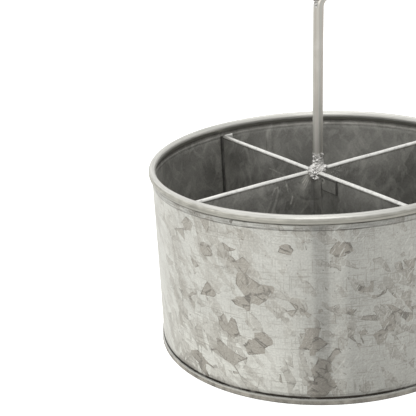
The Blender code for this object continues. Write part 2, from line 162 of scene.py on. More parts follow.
# Ridges smeared over the weld: start and end (right, nearer, above the dividers), radius
WELD_SMEARS = (
    ((0.0024, -0.0018, 0.0000), (0.0040, -0.0030, -0.0010), 0.0014),
    ((-0.0026, 0.0026, 0.0020), (-0.0032, 0.0056, -0.0042), 0.0024),
    ((-0.0004, 0.0032, 0.0012), (-0.0010, 0.0062, -0.0048), 0.0024),
    ((0.0016, 0.0030, 0.0006), (0.0010, 0.0054, -0.0034), 0.0019),
    ((-0.0019, 0.0036, 0.0034), (-0.0047, 0.0028, 0.0016), 0.0009),
    ((0.0001, 0.0058, 0.0020), (-0.0021, 0.0064, 0.0008), 0.0007),
    ((0.0017, 0.0056, 0.0008), (-0.0022, 0.0068, -0.0011), 0.0007),
    ((0.0018, 0.0058, -0.0012), (-0.0014, 0.0068, -0.0030), 0.0006),
    ((-0.0003, 0.0050, 0.0034), (-0.0032, 0.0056, 0.0017), 0.0006),
    ((-0.0029, 0.0062, 0.0002), (-0.0052, 0.0052, -0.0015), 0.0006),
)

# Drops on the weld at the ring: middle and half sizes
LOOP_DROPS = (
    ((-0.0027, -0.0010, 0.1996), (0.0014, 0.0014, 0.0014)),
    ((-0.0026, -0.0012, 0.1977), (0.0011, 0.0011, 0.0010)),
)

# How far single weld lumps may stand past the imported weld, and the slant of the weld's ripples
WELD_OVERHANG = Vector((0.0006, 0.0006, 0.0))
RIPPLE_RISE = 0.82
RIPPLE_RUN = 0.57

# Where the hand-set rod starts to lean, the length its lean is given for, and how it curves
LEAN_START = LONG_HIGH.z + 0.0025
LEAN_SPAN = 0.1
LEAN_CURVE = 1.3

# How uneven hand work leaves the rim, the lock seam's edges, a divider's top and the base's panel
RIM_WAVE = 0.00010
SEAM_GROOVE = 0.00022
HEM_WAVE = 0.00022
PANEL_WAVE = 0.00015

# Largest distance between the mesh's rows
WALL_STEP = 0.0032
PANEL_STEP = 0.006
RING_STEP = 0.004
LIP_STEP = 0.0012
SHEET_STEP = 0.008
DIVIDER_STEP = 0.004
FLANGE_STEP = 0.002
ROD_STEP = 0.003

# Colours of the floor and of the surround, and the floor's own glow in the picture
FLOOR_COLOUR = (0.80, 0.80, 0.795, 1.0)
SKY_COLOUR = (1.0, 1.0, 0.99, 1.0)
FLOOR_GLOW = 0.80

# Lights: name, place and size
KEY_LIGHT = ("key_light", (-1.0, -1.25, 1.35), 1.2)
TOP_LIGHT = ("top_light", (0.1, 0.3, 1.8), 1.4)
LIT_POINT = (0.0, 0.0, 0.08)


# Settings

class CaddySheetSettings(PropertyGroup):
    """Sheet, clearances and how far hand work leaves it from true."""

    thickness: FloatProperty(
        name="Thickness", description="Thickness of the galvanised sheet", default=0.0008, unit="LENGTH"
    )
    clearance: FloatProperty(
        name="Clearance", description="Gap between pieces that touch", default=0.0003, unit="LENGTH"
    )
    waviness: FloatProperty(
        name="Waviness", description="Depth of the wall's soft dents", default=0.00016, unit="LENGTH"
    )
    bow: FloatProperty(
        name="Bow", description="How far a divider's face bows from flat", default=0.00035, unit="LENGTH"
    )
    turns: IntProperty(name="Turn Steps", description="Columns of faces round the tub", default=288)


class CaddyTubSettings(PropertyGroup):
    """Pressed bead, rolled rim, side seam and base of the tub."""

    bead_depth: FloatProperty(
        name="Bead Depth", description="How far the bead stands proud", default=0.00035, unit="LENGTH"
    )
    bead_height: FloatProperty(
        name="Bead Height", description="Height of the bead's flat", default=0.0020, unit="LENGTH"
    )
    bead_drop: FloatProperty(
        name="Bead Drop", description="From the roll's foot down to the bead",
        default=0.0008, unit="LENGTH",
    )
    roll_half_width: FloatProperty(
        name="Roll Half Width", description="Half the rolled rim's width", default=0.0021, unit="LENGTH"
    )
    roll_half_height: FloatProperty(
        name="Roll Half Height", description="Half the rolled rim's height",
        default=0.0027, unit="LENGTH",
    )
    roll_start: FloatProperty(
        name="Roll Start", description="Where the roll leaves the wall",
        default=math.radians(205.0), subtype="ANGLE",
    )
    roll_end: FloatProperty(
        name="Roll End", description="Where the roll's cut edge ends",
        default=math.radians(-85.0), subtype="ANGLE",
    )
    seam_angle: FloatProperty(
        name="Seam Angle", description="Where the wall's ends are locked together",
        default=math.radians(72.0), subtype="ANGLE",
    )
    seam_width: FloatProperty(
        name="Seam Width", description="Width of the lock seam", default=0.0040, unit="LENGTH"
    )
    lip_height: FloatProperty(
        name="Lip Height", description="Height of the base's standing lip", default=0.0038, unit="LENGTH"
    )
    lip_bend: FloatProperty(
        name="Lip Bend", description="Bend radius at the lip's foot", default=0.0009, unit="LENGTH"
    )
    standing_ring: FloatProperty(
        name="Standing Ring", description="Width of the flat ring it stands on",
        default=0.012, unit="LENGTH",
    )
    panel_slope: FloatProperty(
        name="Panel Slope", description="Width of the slope up to the panel",
        default=0.0030, unit="LENGTH",
    )
    panel_rise: FloatProperty(
        name="Panel Rise", description="Height of the raised panel", default=0.0012, unit="LENGTH"
    )


class CaddyDividerSettings(PropertyGroup):
    """Hems, bends and flanges of the dividers."""

    hem_depth: FloatProperty(
        name="Hem Depth", description="How far the hem is folded down", default=0.0042, unit="LENGTH"
    )
    hem_slot: FloatProperty(
        name="Hem Slot", description="Gap inside the folded hem", default=0.0012, unit="LENGTH"
    )
    bend: FloatProperty(
        name="Bend", description="Bend radius of the flanges", default=0.0024, unit="LENGTH"
    )
    wall_flange: FloatProperty(
        name="Wall Flange", description="Width of a flange at the wall", default=0.0058, unit="LENGTH"
    )
    wall_bend: FloatProperty(
        name="Wall Bend", description="Bend radius of a flange at the wall",
        default=0.0012, unit="LENGTH",
    )
    pressed_hem: FloatProperty(
        name="Pressed Hem", description="Part of the hem's thickness left on a wall flange", default=0.40
    )
    inner_flange: FloatProperty(
        name="Inner Flange", description="Reach of a flange at the crossing",
        default=0.0088, unit="LENGTH",
    )
    inner_flange_drop: FloatProperty(
        name="Inner Flange Drop", description="From the hem's top down to an inner flange's top",
        default=0.0045, unit="LENGTH",
    )
    hem_end_gap: FloatProperty(
        name="Hem End Gap", description="From a hem's end to the inner flange's bend",
        default=0.0002, unit="LENGTH",
    )
    plate_corner: FloatProperty(
        name="Plate Corner", description="Clipped corner of the patch plate",
        default=0.0022, unit="LENGTH",
    )


class CaddyHandleSettings(PropertyGroup):
    """Rod, ring and weld metal."""

    neck_bend: FloatProperty(
        name="Neck Bend", description="Bend radius where the stem meets the ring",
        default=0.0060, unit="LENGTH",
    )
    ring_end: FloatProperty(
        name="Ring End", description="Angle at which the ring comes back to the stem",
        default=math.radians(262.0), subtype="ANGLE",
    )
    ring_drift: FloatProperty(
        name="Ring Drift", description="How far the ring's end curls inwards",
        default=0.0026, unit="LENGTH",
    )
    lean: FloatProperty(
        name="Lean", description="How far the rod leans over 100 mm", default=0.0028, unit="LENGTH"
    )
    sides: IntProperty(name="Sides", description="Faces round the rod", default=40)
    weld_grain: FloatProperty(
        name="Weld Grain", description="Voxel size of the weld metal", default=0.00022, unit="LENGTH"
    )
    weld_roughness: FloatProperty(
        name="Weld Roughness", description="Depth of the weld's ripples", default=0.00045, unit="LENGTH"
    )


class CaddyFinishSettings(PropertyGroup):
    """Colours of the zinc, the dull inside, the worn edges and the weld."""

    pale_zinc: FloatVectorProperty(
        name="Pale Zinc", description="Ground colour of the outer wall",
        default=(0.590, 0.588, 0.548), subtype="COLOR", min=0.0, max=1.0,
    )
    flake: FloatVectorProperty(
        name="Flake", description="Colour of the darker spangle flakes",
        default=(0.372, 0.350, 0.310), subtype="COLOR", min=0.0, max=1.0,
    )
    dull_zinc: FloatVectorProperty(
        name="Dull Zinc", description="Ground colour of the weathered inside",
        default=(0.285, 0.280, 0.260), subtype="COLOR", min=0.0, max=1.0,
    )
    worn_edge: FloatVectorProperty(
        name="Worn Edge", description="Colour of hems and the rim where hands polish them",
        default=(0.760, 0.755, 0.725), subtype="COLOR", min=0.0, max=1.0,
    )
    rod: FloatVectorProperty(
        name="Rod", description="Ground colour of the drawn rod",
        default=(0.560, 0.545, 0.515), subtype="COLOR", min=0.0, max=1.0,
    )
    weld: FloatVectorProperty(
        name="Weld", description="Colour of the weld metal",
        default=(0.560, 0.550, 0.530), subtype="COLOR", min=0.0, max=1.0,
    )


class CaddyStageSettings(PropertyGroup):
    """Camera, floor and lights."""

    camera_place: FloatVectorProperty(
        name="Camera Place", description="Where the camera stands",
        default=(-0.389289, -0.508163, 0.315559), subtype="TRANSLATION", unit="LENGTH",
    )
    heading: FloatProperty(
        name="Heading", description="Camera's heading, clockwise from +Y",
        default=math.radians(31.5088), subtype="ANGLE",
    )
    pitch: FloatProperty(
        name="Pitch", description="How far the camera looks down",
        default=math.radians(20.1791), subtype="ANGLE",
    )
    roll: FloatProperty(
        name="Roll", description="Camera's tilt about its own axis",
        default=math.radians(-3.5269), subtype="ANGLE",
    )
    lens: FloatProperty(name="Lens", description="Focal length in millimetres", default=98.464)
    floor_half: FloatProperty(
        name="Floor Half", description="Half the floor's width", default=6.0, unit="LENGTH"
    )
    sky: FloatProperty(name="Sky", description="Strength of the soft surround", default=1.0)
    sky_slope: FloatProperty(
        name="Sky Slope", description="How much dimmer the surround is towards the right", default=0.12
    )
    key_power: FloatProperty(name="Key Power", description="Power of the key light", default=9.0)
    top_power: FloatProperty(name="Top Power", description="Power of the overhead light", default=5.0)


SETTINGS = (
    ("caddy_sheet", CaddySheetSettings),
    ("caddy_tub", CaddyTubSettings),
    ("caddy_dividers", CaddyDividerSettings),
    ("caddy_handle", CaddyHandleSettings),
    ("caddy_finish", CaddyFinishSettings),
    ("caddy_stage", CaddyStageSettings),
)


# Mesh helpers

def arc(centre, radius, start, end, steps):
    """Points on a plane arc from one angle to another, both ends included."""
    points = []
    for i in range(steps + 1):
        angle = start + (end - start) * i / steps
        points.append((centre[0] + radius * math.cos(angle), centre[1] + radius * math.sin(angle)))
    return points


def spaced(start, end, gap):
    """Points on a straight line, at most a gap apart, without its last point."""
    reach = math.dist(start, end)
    steps = max(1, math.ceil(reach / gap))
    points = []
    for i in range(steps):
        part = i / steps
        points.append((start[0] + (end[0] - start[0]) * part, start[1] + (end[1] - start[1]) * part))
    return points


def side_offsets(points):
    """Unit normals to the right of a path, stretched at corners to keep the thickness."""
    offsets = []
    for i in range(len(points)):
        here = Vector(points[i])
        arriving = here - Vector(points[i - 1]) if i > 0 else Vector(points[1]) - here
        leaving = Vector(points[i + 1]) - here if i < len(points) - 1 else arriving
        bisector = (arriving.normalized() + leaving.normalized()).normalized()
        stretch = 1.0 / max(bisector.dot(arriving.normalized()), 0.5)
        offsets.append(Vector((bisector.y, -bisector.x)) * stretch)
    return offsets


def thicken(midline, thickness):
    """The two faces of a sheet whose middle line is given: right side, then left side reversed."""
    offsets = side_offsets(midline)
    half = 0.5 * thickness
    right = [tuple(Vector(p) + n * half) for p, n in zip(midline, offsets)]
    left = [tuple(Vector(p) - n * half) for p, n in zip(midline, offsets)]
    return right, left[::-1]


def smooth_step(low, high, value):
    """Ease from 0 at low to 1 at high."""
    part = min(max((value - low) / (high - low), 0.0), 1.0)
    return part * part * (3.0 - 2.0 * part)


def ripple(x, y, z, size):
    """Soft noise from -1 to 1 whose bumps are about the given size apart."""
    return noise.noise(Vector((x / size, y / size, z / size)))


def add_piece(name, bm, finishes, node, smooth_angle=40.0):
    """Turn a bmesh into a shown piece that stands for a CAD node and rides on the body."""
    bmesh.ops.recalc_face_normals(bm, faces=bm.faces)
    mesh = bpy.data.meshes.new(name)
    bm.to_mesh(mesh)
    bm.free()
    mesh.shade_smooth()
    mesh.set_sharp_from_angle(angle=math.radians(smooth_angle))
    for finish in finishes:
        mesh.materials.append(finish)
    piece = bpy.data.objects.new(name, mesh)
    bpy.context.scene.collection.objects.link(piece)
    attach(piece, BODY)
    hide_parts(node)
    return piece


def apply_modifiers(piece):
    """Bake a piece's modifiers into its mesh."""
    graph = bpy.context.evaluated_depsgraph_get()
    baked = bpy.data.meshes.new_from_object(piece.evaluated_get(graph), depsgraph=graph)
    piece.modifiers.clear()
    piece.data = baked


def cut_away(piece, cutter_bm):
    """Cut a closed shape out of a piece for good."""
    cutter_mesh = bpy.data.meshes.new("cutter")
    cutter_bm.to_mesh(cutter_mesh)
    cutter_bm.free()
    cutter = bpy.data.objects.new("cutter", cutter_mesh)
    bpy.context.scene.collection.objects.link(cutter)
    cut = piece.modifiers.new("cut", "BOOLEAN")
    cut.operation = "DIFFERENCE"
    cut.solver = "EXACT"
    cut.object = cutter
    apply_modifiers(piece)
    bpy.data.objects.remove(cutter, do_unlink=True)


def column_angles(tub, steps):
    """Angles of the tub's columns: even ones from the seam on, and close ones at its edges."""
    half = 0.5 * tub.seam_width / TUB_HIGH.x
    parts = (-1.5, -1.15, -1.0, -0.85, 0.0, 0.85, 1.0, 1.15, 1.5)
    fine = [tub.seam_angle + part * half for part in parts]
    rest = math.tau - 3.0 * half
    return fine + [fine[-1] + rest * i / steps for i in range(1, steps)]


def lengths_along(points):
    """Distance along a path to each of its points."""
    along = [0.0]
    for a, b in zip(points, points[1:]):
        along.append(along[-1] + math.dist(a, b))
    return along


def new_sheet():
    """Empty bmesh with a sheet map."""
    bm = bmesh.new()
    bm.loops.layers.uv.new("sheet")
    return bm


def add_face(bm, corners, spots, role):
    """Add a face with the number of its finish and its corners' places on the sheet map."""
    face = bm.faces.new(corners)
    face.material_index = role
    sheet_map = bm.loops.layers.uv["sheet"]
    for loop, spot in zip(face.loops, spots):
        loop[sheet_map].uv = spot


def join_rings(bm, rings, roles, spot):
    """Skin a row of rings and close its ends.

    spot(ring, corner) gives a corner's place on the sheet map.
    """
    count = len(roles)
    for k in range(len(rings) - 1):
        for i in range(count):
            corners = ((k, i), (k, i + 1), (k + 1, i + 1), (k + 1, i))
            verts = [rings[ring][corner % count] for ring, corner in corners]
            add_face(bm, verts, [spot(*corner) for corner in corners], roles[i])
    bm.faces.new(rings[0])
    bm.faces.new(list(reversed(rings[-1])))


def turned(outline, roles, angles, shift):
    """Turn a closed outline of (radius, height) about Z, with a sheet map in metres.

    shift(angle, radius, height, index) gives each point's own (radius, height) change.
    """
    bm = new_sheet()
    along = lengths_along(outline + outline[:1])
    columns = []
    for angle in angles:
        column = []
        for index, (radius, height) in enumerate(outline):
            out, up = shift(angle, radius, height, index)
            r = max(radius + out, 0.0)
            column.append(bm.verts.new((r * math.cos(angle), r * math.sin(angle), height + up)))
        columns.append(column)
    count = len(outline)
    width = max(p[0] for p in outline)
    around = [width * (angle - angles[0]) for angle in (*angles, angles[0] + math.tau)]
    for k, near in enumerate(columns):
        far = columns[(k + 1) % len(columns)]
        u_near, u_far = around[k:k + 2]
        for i in range(count):
            j = (i + 1) % count
            v_near, v_far = along[i:i + 2]
            spots = ((u_near, v_near), (u_far, v_near), (u_far, v_far), (u_near, v_far))
            add_face(bm, (near[i], far[i], far[j], near[j]), spots, roles[i])
    bmesh.ops.remove_doubles(bm, verts=bm.verts, dist=1e-7)
    return bm


def swept(path, section, roles, shift, squeeze):
    """Sweep a closed (offset to the right, height) section along a plan path, with a sheet map.

    shift(distance along, height) gives (sideways, upward) changes, and squeeze(distance along, offset)
    the offset that pressing leaves.
    """
    bm = new_sheet()
    along = lengths_along(path)
    rings = []
    for point, normal, reach in zip(path, side_offsets(path), along):
        ring = []
        for offset, z in section:
            side, up = shift(reach, z)
            side += squeeze(reach, offset)
            place = (point[0] + normal.x * side, point[1] + normal.y * side, z + up)
            ring.append(bm.verts.new(place))
        rings.append(ring)
    join_rings(bm, rings, roles, lambda ring, corner: (along[ring], section[corner % len(section)][1]))
    return bm


def bar(points, radius, sides):
    """Round bar along points in the XZ plane, with a map of (round the bar, along the bar)."""
    bm = new_sheet()
    along = lengths_along(points)
    rings = []
    for point, normal in zip(points, side_offsets(points)):
        ring = []
        for i in range(sides):
            angle = math.tau * i / sides
            out = radius * math.cos(angle)
            place = (point[0] + normal.x * out, radius * math.sin(angle), point[1] + normal.y * out)
            ring.append(bm.verts.new(place))
        rings.append(ring)
    width = math.tau * radius / sides
    join_rings(bm, rings, [0] * sides, lambda ring, corner: (corner * width, along[ring]))
    return bm


# Finishes

class Finish:
    """A material's nodes, with short calls for what its finish is mixed from."""

    def __init__(self, name, roughness, metallic):
        self.material = bpy.data.materials.new(name)
        self.material.use_nodes = True
        self.tree = self.material.node_tree
        self.shader = self.tree.nodes["Principled BSDF"]
        self.shader.inputs["Roughness"].default_value = roughness
        self.shader.inputs["Metallic"].default_value = metallic
        self.place = self.node("TexCoord", {}).outputs["Object"]
        self.sheet = self.node("UVMap", {}, uv_map="sheet").outputs["UV"]

    def node(self, kind, inputs, **settings):
        """One node with its settings; an input is linked to a socket or set to a value."""
        node = self.tree.nodes.new("ShaderNode" + kind)
        for setting, value in settings.items():
            setattr(node, setting, value)
        for key, value in inputs.items():
            if isinstance(value, bpy.types.NodeSocket):
                self.tree.links.new(value, node.inputs[key])
            else:
                node.inputs[key].default_value = value
        return node

    def math(self, operation, a, b):
        """One math node."""
        return self.node("Math", {0: a, 1: b}, operation=operation).outputs[0]

    def times(self, a, b):
        """Product of two numbers."""
        return self.math("MULTIPLY", a, b)

    def plus(self, a, b):
        """Sum of two numbers."""
        return self.math("ADD", a, b)

    def minus(self, a, b):
        """Difference of two numbers."""
        return self.math("SUBTRACT", a, b)

    def larger(self, a, b):
        """The larger of two numbers."""
        return self.math("MAXIMUM", a, b)

    def smaller(self, a, b):
        """The smaller of two numbers."""
        return self.math("MINIMUM", a, b)

    def apart(self, a, b):
        """How far two numbers are apart."""
        return self.math("ABSOLUTE", self.minus(a, b), 0.0)

    def vector_math(self, operation, a, b, output="Value"):
        """One vector math node."""
        second = "Scale" if operation == "SCALE" else 1
        return self.node("VectorMath", {0: a, second: b}, operation=operation).outputs[output]

    def span(self, value, low, high):
        """Ease from 0 at low to 1 at high; low may be the greater."""
        inputs = {"Value": value, "From Min": low, "From Max": high}
        return self.node("MapRange", inputs, interpolation_type="SMOOTHSTEP").outputs["Result"]

    def near(self, value, middle, reach):
        """1 where a value is at the middle, easing to 0 at the reach on either side."""
        return self.span(self.apart(value, middle), reach, 0.25 * reach)

    def mix(self, factor, a, b, blend="MIX"):
        """Mix of two colours."""
        first, second = (c if isinstance(c, bpy.types.NodeSocket) else (*c, 1.0) for c in (a, b))
        node = self.node("Mix", {0: factor, 6: first, 7: second}, data_type="RGBA", blend_type=blend)
        return node.outputs[2]

    def lay(self, colour, over, where, strength=None):
        """Lay one colour over another where a number is 1, as strongly as given."""
        return self.mix(where if strength is None else self.times(where, strength), colour, over)

    def tinted(self, colour, tint):
        """A colour multiplied by a tint."""
        return self.mix(1.0, colour, tint, "MULTIPLY")

    def ramp(self, factor, stops):
        """Colour ramp over (position, colour or grey) stops."""
        node = self.node("ValToRGB", {"Fac": factor})
        elements = node.color_ramp.elements
        while len(elements) < len(stops):
            elements.new(0.5)
        for element, (position, colour) in zip(elements, stops):
            element.position = position
            shade = (colour, colour, colour) if isinstance(colour, float) else tuple(colour)
            element.color = (*shade, 1.0)
        return node.outputs["Color"]

    def noise_node(self, vector, scale, detail, roughness=0.55, distortion=0.0):
        """Noise texture over a vector."""
        inputs = {"Vector": vector, "Scale": scale, "Detail": detail}
        inputs.update({"Roughness": roughness, "Distortion": distortion})
        return self.node("TexNoise", inputs)

    def noise(self, *noise_inputs):
        """Noise from 0 to 1."""
        return self.noise_node(*noise_inputs).outputs["Fac"]

    def lines(self, along, across, detail=3.0, roughness=0.55):
        """Noise drawn out on the sheet map: bumps per metre along it and across it."""
        return self.noise(self.stretched(self.sheet, (along, across, 1.0)), 1.0, detail, roughness)

    def stretched(self, vector, scale, turn=0.0):
        """A vector turned in its own plane and then scaled along each axis."""
        node = self.node("VectorRotate", {"Vector": vector, "Angle": turn}, rotation_type="Z_AXIS")
        return self.vector_math("MULTIPLY", node.outputs["Vector"], scale, "Vector")

    def jagged(self, vector, scale, amount, detail=2.0):
        """A vector nudged by noise, so that what is drawn with it gets uneven edges."""
        nudge = self.noise_node(vector, scale, detail).outputs["Color"]
        inputs = {0: nudge, 1: (amount, amount, amount), 2: vector}
        return self.node("VectorMath", inputs, operation="MULTIPLY_ADD").outputs["Vector"]

    def cells(self, vector, scale):
        """Cell pattern: distance, and two random numbers for each cell."""
        node = self.node("TexVoronoi", {"Vector": vector, "Scale": scale})
        lots = self.node("SeparateColor", {"Color": node.outputs["Color"]})
        return node.outputs["Distance"], lots.outputs["Red"], lots.outputs["Green"]

    def border(self, vector, scale):
        """Distance to the nearest border of a cell pattern."""
        inputs = {"Vector": vector, "Scale": scale}
        return self.node("TexVoronoi", inputs, feature="DISTANCE_TO_EDGE").outputs["Distance"]

    def cell_centre(self, vector, scale):
        """Centre of the cell that a place is in, laid flat."""
        node = self.node("TexVoronoi", {"Vector": vector, "Scale": scale})
        return self.vector_math("MULTIPLY", node.outputs["Position"], (1.0, 1.0, 0.0), "Vector")

    def split(self, vector):
        """The three numbers of a vector."""
        return self.node("SeparateXYZ", {0: vector}).outputs

    def height(self):
        """Height of a place above the floor."""
        return self.split(self.place)[2]

    def reach(self, direction):
        """How far a place lies in a direction from the tub's middle line."""
        return self.vector_math("DOT_PRODUCT", self.place, tuple(direction))

    def in_xz(self):
        """Place with X and Z as its first two numbers, for marks on a sheet that faces Y."""
        x, y, z = self.split(self.place)
        return self.node("CombineXYZ", {0: x, 1: z, 2: y}).outputs[0]

    def distance(self, point):
        """Distance from a fixed point, in metres."""
        return self.vector_math("DISTANCE", self.place, point)

    def distance_in_plan(self, across, along):
        """Distance from an upright line through a plan point, in metres."""
        flat = self.vector_math("MULTIPLY", self.place, (1.0, 1.0, 0.0), "Vector")
        return self.vector_math("DISTANCE", flat, (across, along, 0.0))

    def to_line(self, place, start, end):
        """Distance of a place from a fixed straight line between two points, in metres."""
        line = Vector(end) - Vector(start)
        away = self.vector_math("SUBTRACT", place, start, "Vector")
        part = self.vector_math("DOT_PRODUCT", away, tuple(line / line.length_squared))
        held = self.smaller(self.larger(part, 0.0), 1.0)
        along = self.vector_math("SCALE", tuple(line), held, "Vector")
        return self.vector_math("DISTANCE", away, along)

    def grime(self, colour, jitter, *bands):
        """Painted shade lines at given heights: (height, reach, strength), with uneven edges and patchy
        strength.
        """
        uneven = self.minus(self.noise(self.place, 220.0, 3.0), 0.5)
        height = self.plus(self.height(), self.times(uneven, jitter))
        patchy = self.ramp(self.noise(self.place, 75.0, 3.0), ((0.36, 0.45), (0.58, 1.0)))
        for middle, reach, strength in bands:
            dark = self.times(self.near(height, middle, reach), self.times(patchy, strength))
            colour = self.lay(colour, SHADE_LINE_COLOUR, dark)
        return colour

    def dress(self, colour, roughness, height, depth):
        """Send colour, roughness and bump height to the shader."""
        bump = self.node("Bump", {"Strength": 1.0, "Distance": depth, "Height": height})
        self.tree.links.new(colour, self.shader.inputs["Base Color"])
        self.tree.links.new(roughness, self.shader.inputs["Roughness"])
        self.tree.links.new(bump.outputs["Normal"], self.shader.inputs["Normal"])
        return self.material


def shade_of(colour, factor):
    """A colour made lighter or darker."""
    return tuple(min(part * factor, 1.0) for part in colour)


def toned(colour, factors):
    """A colour with each of its three parts multiplied by a factor of its own."""
    return tuple(part * factor for part, factor in zip(colour, factors))


def wall_spot(turn, height):
    """Place of a flake on the wall's sheet map: degrees right of the front, and height."""
    tub = bpy.context.scene.caddy_tub
    start = tub.seam_angle - 0.75 * tub.seam_width / TUB_HIGH.x
    around = (FRONT_ANGLE + math.radians(turn) - start) % math.tau
    return TUB_HIGH.x * around + FLAKE_NUDGE, height - TUB_LOW.z + FLAKE_NUDGE, 0.0


# One flake pattern: its map, two random numbers for each cell, and the distance to a cell's border
Pattern = namedtuple("Pattern", "place chance lot border")


def flake_pattern(f, place, scale):
    """Flake pattern on a sheet map, in cells per metre."""
    chance, lot = f.cells(place, scale)[1:]
    return Pattern(place, chance, lot, f.border(place, scale))


def pale_ground(f, pale, across, height, low_left):
    """Cloudy pale zinc, with painted highlight at the left and at the lower left."""
    clouds = f.noise(f.sheet, 55.0, 5.0, 0.62)
    colour = f.ramp(clouds, ((0.30, shade_of(pale, 0.88)), (0.50, pale), (0.70, shade_of(pale, 1.08))))
    # Painted highlight: lighter towards the left, most at the lower left
    colour = f.lay(colour, shade_of(pale, 1.35), f.span(across, -0.020, -0.070), 0.24)
    lowest = f.times(low_left, f.times(f.span(height, 0.055, 0.020), 0.62))
    return f.lay(colour, shade_of(pale, 1.35), lowest)


def placed_flakes(f, plain, cut):
    """1 inside the big flakes that lie near the named spots."""
    centre = f.cell_centre(plain.place, FLAKE_SCALE)
    placed = 0.0
    for turn, height, reach, strength in FLAKE_SPOTS:
        apart = f.vector_math("DISTANCE", centre, wall_spot(turn, height))
        placed = f.larger(placed, f.times(f.span(apart, 1.3 * reach, 0.8 * reach), strength))
    placed = f.span(f.plus(placed, f.times(plain.chance, 0.3)), 0.60, 0.612)
    return f.times(placed, f.span(cut.chance, 0.12, 0.14))


def lay_flakes(f, finish, colour, flakes, crowd, low_left, patterns):
    """Faint ghosts of flakes, then the sharp ones with a dark rim on one side."""
    pale = tuple(finish.pale_zinc)
    flake = tuple(finish.flake)
    plain, cut, shard = patterns

    def shapes(first, second, least, part):
        """Cells of one pattern cut by another, more of them where the crowd is."""
        wanted = f.plus(first, f.times(crowd, 1.3))
        return f.times(f.span(wanted, least, least + 0.012), f.span(second, part, part + 0.02))

    def edge_of(first, second):
        """1 on the lines of two patterns, 0 inside their cells."""
        return f.span(f.smaller(first.border, second.border), 0.080, 0.025)

    dark_side = f.span(f.noise(f.sheet, 150.0, 1.0), 0.46, 0.56)
    ghosts = shapes(cut.lot, shard.lot, 0.60, 0.28)
    colour = f.lay(colour, flakes, ghosts, 0.40)
    ghost_rim = f.times(ghosts, edge_of(cut, shard))
    rim_shade = f.mix(dark_side, shade_of(pale, 1.25), shade_of(flake, 0.80))
    colour = f.lay(colour, rim_shade, ghost_rim, 0.50)
    for chosen, pair, strength in (
        (shapes(shard.chance, cut.chance, 0.86, 0.40), (shard, cut), 0.50),
        (shapes(shard.lot, plain.chance, 0.79, 0.45), (shard, plain), f.times(low_left, 0.52)),
        (shapes(plain.chance, cut.chance, 0.87, 0.28), (plain, cut), 0.85),
        (placed_flakes(f, plain, cut), (plain, cut), 1.0),
    ):
        colour = f.lay(colour, flakes, chosen, strength)
        rim = f.times(f.times(chosen, strength), edge_of(*pair))
        colour = f.lay(colour, shade_of(flake, 0.50), rim, f.times(dark_side, 0.90))
    return colour


def lay_fine_marks(f, finish, colour, flakes, crowd, across, patterns):
    """Leaf-like flakes at the left, brushed strokes, broken hatching, smudges and specks."""
    pale = tuple(finish.pale_zinc)
    flake = tuple(finish.flake)
    plain, _, shard = patterns
    leaf_map = f.stretched(plain.place, (3.3, 0.85, 1.0), math.radians(-38.0))
    leaves = f.span(f.plus(f.cells(leaf_map, 92.0)[1], f.times(crowd, 0.8)), 0.62, 0.635)
    leaves = f.times(leaves, f.span(across, -0.010, -0.038))
    colour = f.lay(colour, flakes, leaves, 0.34)
    busy = f.span(f.plus(f.noise(f.sheet, 34.0, 2.0), f.times(across, 1.6)), 0.44, 0.62)
    fine = f.noise(f.stretched(f.sheet, (1.0, 7.0, 1.0), f.times(shard.lot, 3.1)), 330.0, 3.0)
    colour = f.lay(colour, shade_of(pale, 1.18), f.times(busy, f.span(fine, 0.54, 0.66)), 0.45)
    colour = f.lay(colour, flakes, f.times(busy, f.span(fine, 0.46, 0.34)), 0.36)
    level = f.span(f.lines(60.0, 1300.0, 2.0), 0.53, 0.66)
    upright = f.span(f.lines(1300.0, 66.0, 2.0), 0.55, 0.68)
    patchy = f.ramp(f.noise(f.sheet, 62.0, 2.0), ((0.38, 0.10), (0.56, 0.60)))
    colour = f.lay(colour, shade_of(flake, 0.95), f.larger(level, upright), patchy)
    smudge_map = f.stretched(f.jagged(f.sheet, 110.0, 0.006), (1.0, 2.6, 1.0), math.radians(20.0))
    colour = f.lay(colour, flakes, f.span(f.noise(smudge_map, 120.0, 4.0, 0.7), 0.52, 0.66), 0.24)
    stroke_map = f.stretched(f.jagged(f.sheet, 130.0, 0.003), (1.0, 6.0, 1.0), math.radians(-55.0))
    strokes = f.span(f.noise(stroke_map, 200.0, 2.0), 0.57, 0.70)
    more_right = f.ramp(f.span(across, 0.002, 0.008), ((0.0, 0.26), (1.0, 0.75)))
    colour = f.lay(colour, shade_of(pale, 1.22), strokes, more_right)
    dots, dot_chance = f.cells(f.sheet, 520.0)[:2]
    dotted = f.times(f.span(dots, 0.24, 0.12), f.span(dot_chance, 0.92, 0.93))
    return f.lay(colour, shade_of(flake, 0.50), dotted, 0.60)


